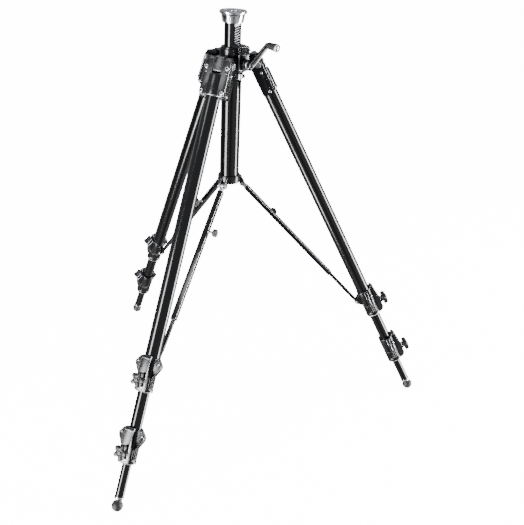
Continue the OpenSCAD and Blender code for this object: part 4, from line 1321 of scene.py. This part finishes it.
# %% Spreader hub
HUB_RING = 26
FORK_HALF = 4.4
FORK_THICK = 4
ring_top = box_in("spreader_hub", PLAIN)[1].z
pin = joint_in("strut_tilt_b", PLAIN)
ring = lathed([
    (19.5, ring_top - 18), *from_corner(
        HUB_RING, ring_top, (-1.4, -18), (0, -16.4), (0, -3.4), (-0.8, -2.4), (-0.8, -0.8), (-1.8, 0),
    ), *from_corner(0, ring_top, (21.8, 0), (21.8, -14), (19.5, -14)),
], 0.35, sides=96, ring=True)
fork = [
    *from_corner(HUB_RING, ring_top, (-3, -4), (2, -4)), *bow(pin.x, pin.z, 6, 20, -180, 12),
    (HUB_RING - 3, ring_top - 18),
]
forks = []
for low in (FORK_HALF, -FORK_HALF - FORK_THICK):
    side = soften(plate(fork, low, low + FORK_THICK, "Y"), 0.8, 3, 30, wear_and_highlight=True)
    forks += copies(side, AROUND.values())
hub = joined(ring, *forks)
dress(hub, "spreader_ring", GREY_ENAMEL, "crown_body", ("spreader_hub",))
print("the spreader's ring carries", len(forks) // 2, "forks")

# %% [markdown]
# ### Struts
#
# The channel is anodised, and a bare bead runs along both of its upper edges. It hangs in the fork
# by a light eye. The rod ends in a flat tongue with an eye of its own, which the leg's pin goes
# through. The channel is a block that is hollowed and slotted before its edges are rounded, so that
# the slot's edges catch the light too.

# %% Struts
CHANNEL_HIGH = 5.5
ROD_WIDE, ROD_HIGH = 4.1, 3.6
TONGUE = 3.0
channel_high = box_in("leg_b_strut_channel", STRUT["b"])[1]
rod_low, rod_high = box_in("leg_b_strut_rod", STRUT["b"])
thumb = joint_in("strut_knob_b", STRUT["b"])
channel_wide, channel_end = channel_high.y, channel_high.x


def eye(hole, wide, half, edge, x=0):
    """A ring across the strut, with broken edges."""
    profile = [
        (hole, -half), (wide - edge, -half), (wide, edge - half), (wide, half - edge), (wide - edge, half),
        (hole, half),
    ]
    return lathed(profile, 0.2, axis="Y", centre=(x, 0, 0), sides=40, ring=True)


channel = block((13, -channel_wide, -CHANNEL_HIGH), (channel_end, channel_wide, CHANNEL_HIGH))
hollow = block((38, -ROD_WIDE - 0.1, -ROD_HIGH - 0.1), (channel_end + 5, ROD_WIDE + 0.1, ROD_HIGH + 0.1))
cut(channel, hollow, block((38, 0, -2.4), (thumb.x + 30, 12, 2.4)))
soften(channel, 1.4, 3, 30)
neck = soften(block((3, -ROD_WIDE, -4.6), (15, ROD_WIDE, 4.6)), 0.7)
beads = [
    soften(block((16, low, CHANNEL_HIGH - 2.6), (channel_end - 3, low + 1.4, CHANNEL_HIGH - 0.8)), 0.6)
    for low in (channel_wide - 1.2, -channel_wide - 0.2)
]
rod = joined(
    soften(block((rod_low.x, -ROD_WIDE, -ROD_HIGH), (rod_high.x - 41, ROD_WIDE, ROD_HIGH)), 0.8),
    soften(block((rod_high.x - 43, -TONGUE, -ROD_HIGH), (rod_high.x - 4, TONGUE, ROD_HIGH)), 0.8),
    eye(2.25, 5, TONGUE, 0.4, rod_high.x - 5),
)
for made, name, finish, body, slot, node in (
    (channel, "strut_channel", ANODISED_STRUT, "strut_", "black_anodised", "strut_channel"),
    (joined(eye(2.6, 6, ROD_WIDE, 0.6), neck), "strut_eye", SATIN, "strut_", "steel", None),
    (joined(*beads), "strut_beads", SATIN, "strut_", "steel", None),
    (rod, "strut_rod", ANODISED_STRUT, "rod_", "steel", "strut_rod"),
):
    dress_legs(made, name, finish, body, node, STRUT)

# %% [markdown]
# The thumb screw has a black knurled head on a bright stem. A knurl that is as fine as the real one
# would be lost, so its ridges are 1.6 mm apart.

# %% Thumb screws
THUMB = 9.2
KNURL_DEPTH = 0.6
RIDGES = 36
thumb_face = channel_wide + 0.4
knurl = []
for step in range(2 * RIDGES):
    radius = THUMB if step % 2 else THUMB - KNURL_DEPTH
    angle = math.pi * step / RIDGES
    knurl.append((thumb.x + radius * math.cos(angle), radius * math.sin(angle)))
head = soften(plate(knurl, thumb_face + 12, thumb_face + 19.4, "Y"), 0.25, 1, 60)
dome = lathed([(4, thumb_face + 11.5), *from_corner(
    THUMB, thumb_face, (-1.6, 11.5), (-0.9, 12.2), (-0.9, 19.4), (-1.6, 20), (-3, 20), (-3.5, 19.5),
)], 0.2, axis="Y", centre=(thumb.x, 0, 0), sides=48)
dress_legs(joined(head, dome), "thumb_head", NYLON, "thumb_", "strut_knob", STRUT)
stem = lathed([(2, -1), *from_corner(
    0, thumb_face, (2, 0), (4.4, 0), (4.4, 1.6), (4.0, 2), (3, 2), (3, 12),
)], 0.2, axis="Y", centre=(thumb.x, 0, 0), sides=32)
dress_legs(stem, "thumb_stem", ZINC, "thumb_", places=STRUT)

# %% [markdown]
# ## Sleeve
#
# The column slides down in a fixed tube of the same anodised finish. A split clamp closes round its
# top, and a small knob draws the clamp together. The clamp is a turned ring with a narrow slot cut
# through one side, where its two ears stand.

# %% Sleeve and clamp
SLEEVE_WALL = 2.2
SPLIT = 0.6  # half of the clamp's gap
low, high = box_in("sleeve_tube", PLAIN)
sleeve = pipe(high.x, SLEEVE_WALL, low.z, high.z)
dress(sleeve, "sleeve", ANODISED_COLUMN, "crown_body", ("sleeve_tube",))
foot, top = (corner.z for corner in box_in("sleeve_collar", PLAIN))
collar = turned([
    *from_corner(0, foot, (21.8, 0), (24.6, 0), (25.3, 0.8), (25.3, 4), (24.6, 4.8)),
    *from_corner(0, top, (24.6, -4.8), (25.3, -4), (25.3, -0.8), (24.6, 0), (21.8, 0)),
], sides=96, ring=True)
cut(collar, block((18, -SPLIT, foot - 2), (30, SPLIT, top + 2)))
soften(collar, 0.3, 2)
dress(collar, "collar", GREY_ENAMEL, "crown_body", ("sleeve_collar",), UPRIGHT)
ears = [
    soften(block((22.4, near, foot + 0.8), (34.4, far, top - 0.8)), 1.0)
    for near, far in ((-6.2, -SPLIT), (SPLIT, 5.1))
]
dress(joined(*ears), "collar_ears", SATIN, "crown_body", (), UPRIGHT)
clamp = joint_in("clamp_knob_turn", UPRIGHT)
clamp_knob = lathed([
    (2, -5.9), (2, 5.3), (3.8, 5.3), (4.5, 6.0), (4.5, 7.4), (4.2, 7.8), (4.5, 8.2), (4.5, 11.4),
    (3.9, 12.6), (2.4, 12.9),
], 0.2, axis="Y", centre=(clamp.x, 0, clamp.z), sides=32)
dress(clamp_knob, "clamp_knob", NYLON, "clamp_knob", ("column_lock_knob",), UPRIGHT)
print("the clamp reaches from", round(foot, 1), "to", round(top, 1), "mm")

# %% [markdown]
# ## Floor
#
# A plain pale sheet, large enough that its far edge is out of sight. It isn't part of the tripod.

# %% Floor
for stand_in in (FACES, EDGES):
    bpy.data.materials.remove(stand_in)
FLOOR_SIZE = 60  # m
bpy.ops.object.select_all(action="DESELECT")
bpy.ops.mesh.primitive_plane_add(size=FLOOR_SIZE)
floor = bpy.context.object
floor.name = "floor"
paper, paper_tree, paper_surface = shader("studio_paper", "#f2f3f4", 0.0, 0.75, 1.45)
# The sheet glows like a light table, for the camera alone, so that it stays white behind black tubes.
paper_surface.inputs["Emission Color"].default_value = srgb("#ffffff")
paper_surface.inputs["Emission Strength"].default_value = 14
fibres = noise(paper_tree, 3.0, 2.0)
feed(paper_tree, paper_surface, {"Base Color": tint(paper_tree, fibres, "#f0f1f2", "#f5f6f7")})
floor.data.materials.append(paper)
# The pieces neither mirror the floor nor are lit by it, and the strips shine past it.
floor.visible_glossy = False
floor.visible_diffuse = False
floor.visible_shadow = False
print("floor is", floor.dimensions.x, "m wide")
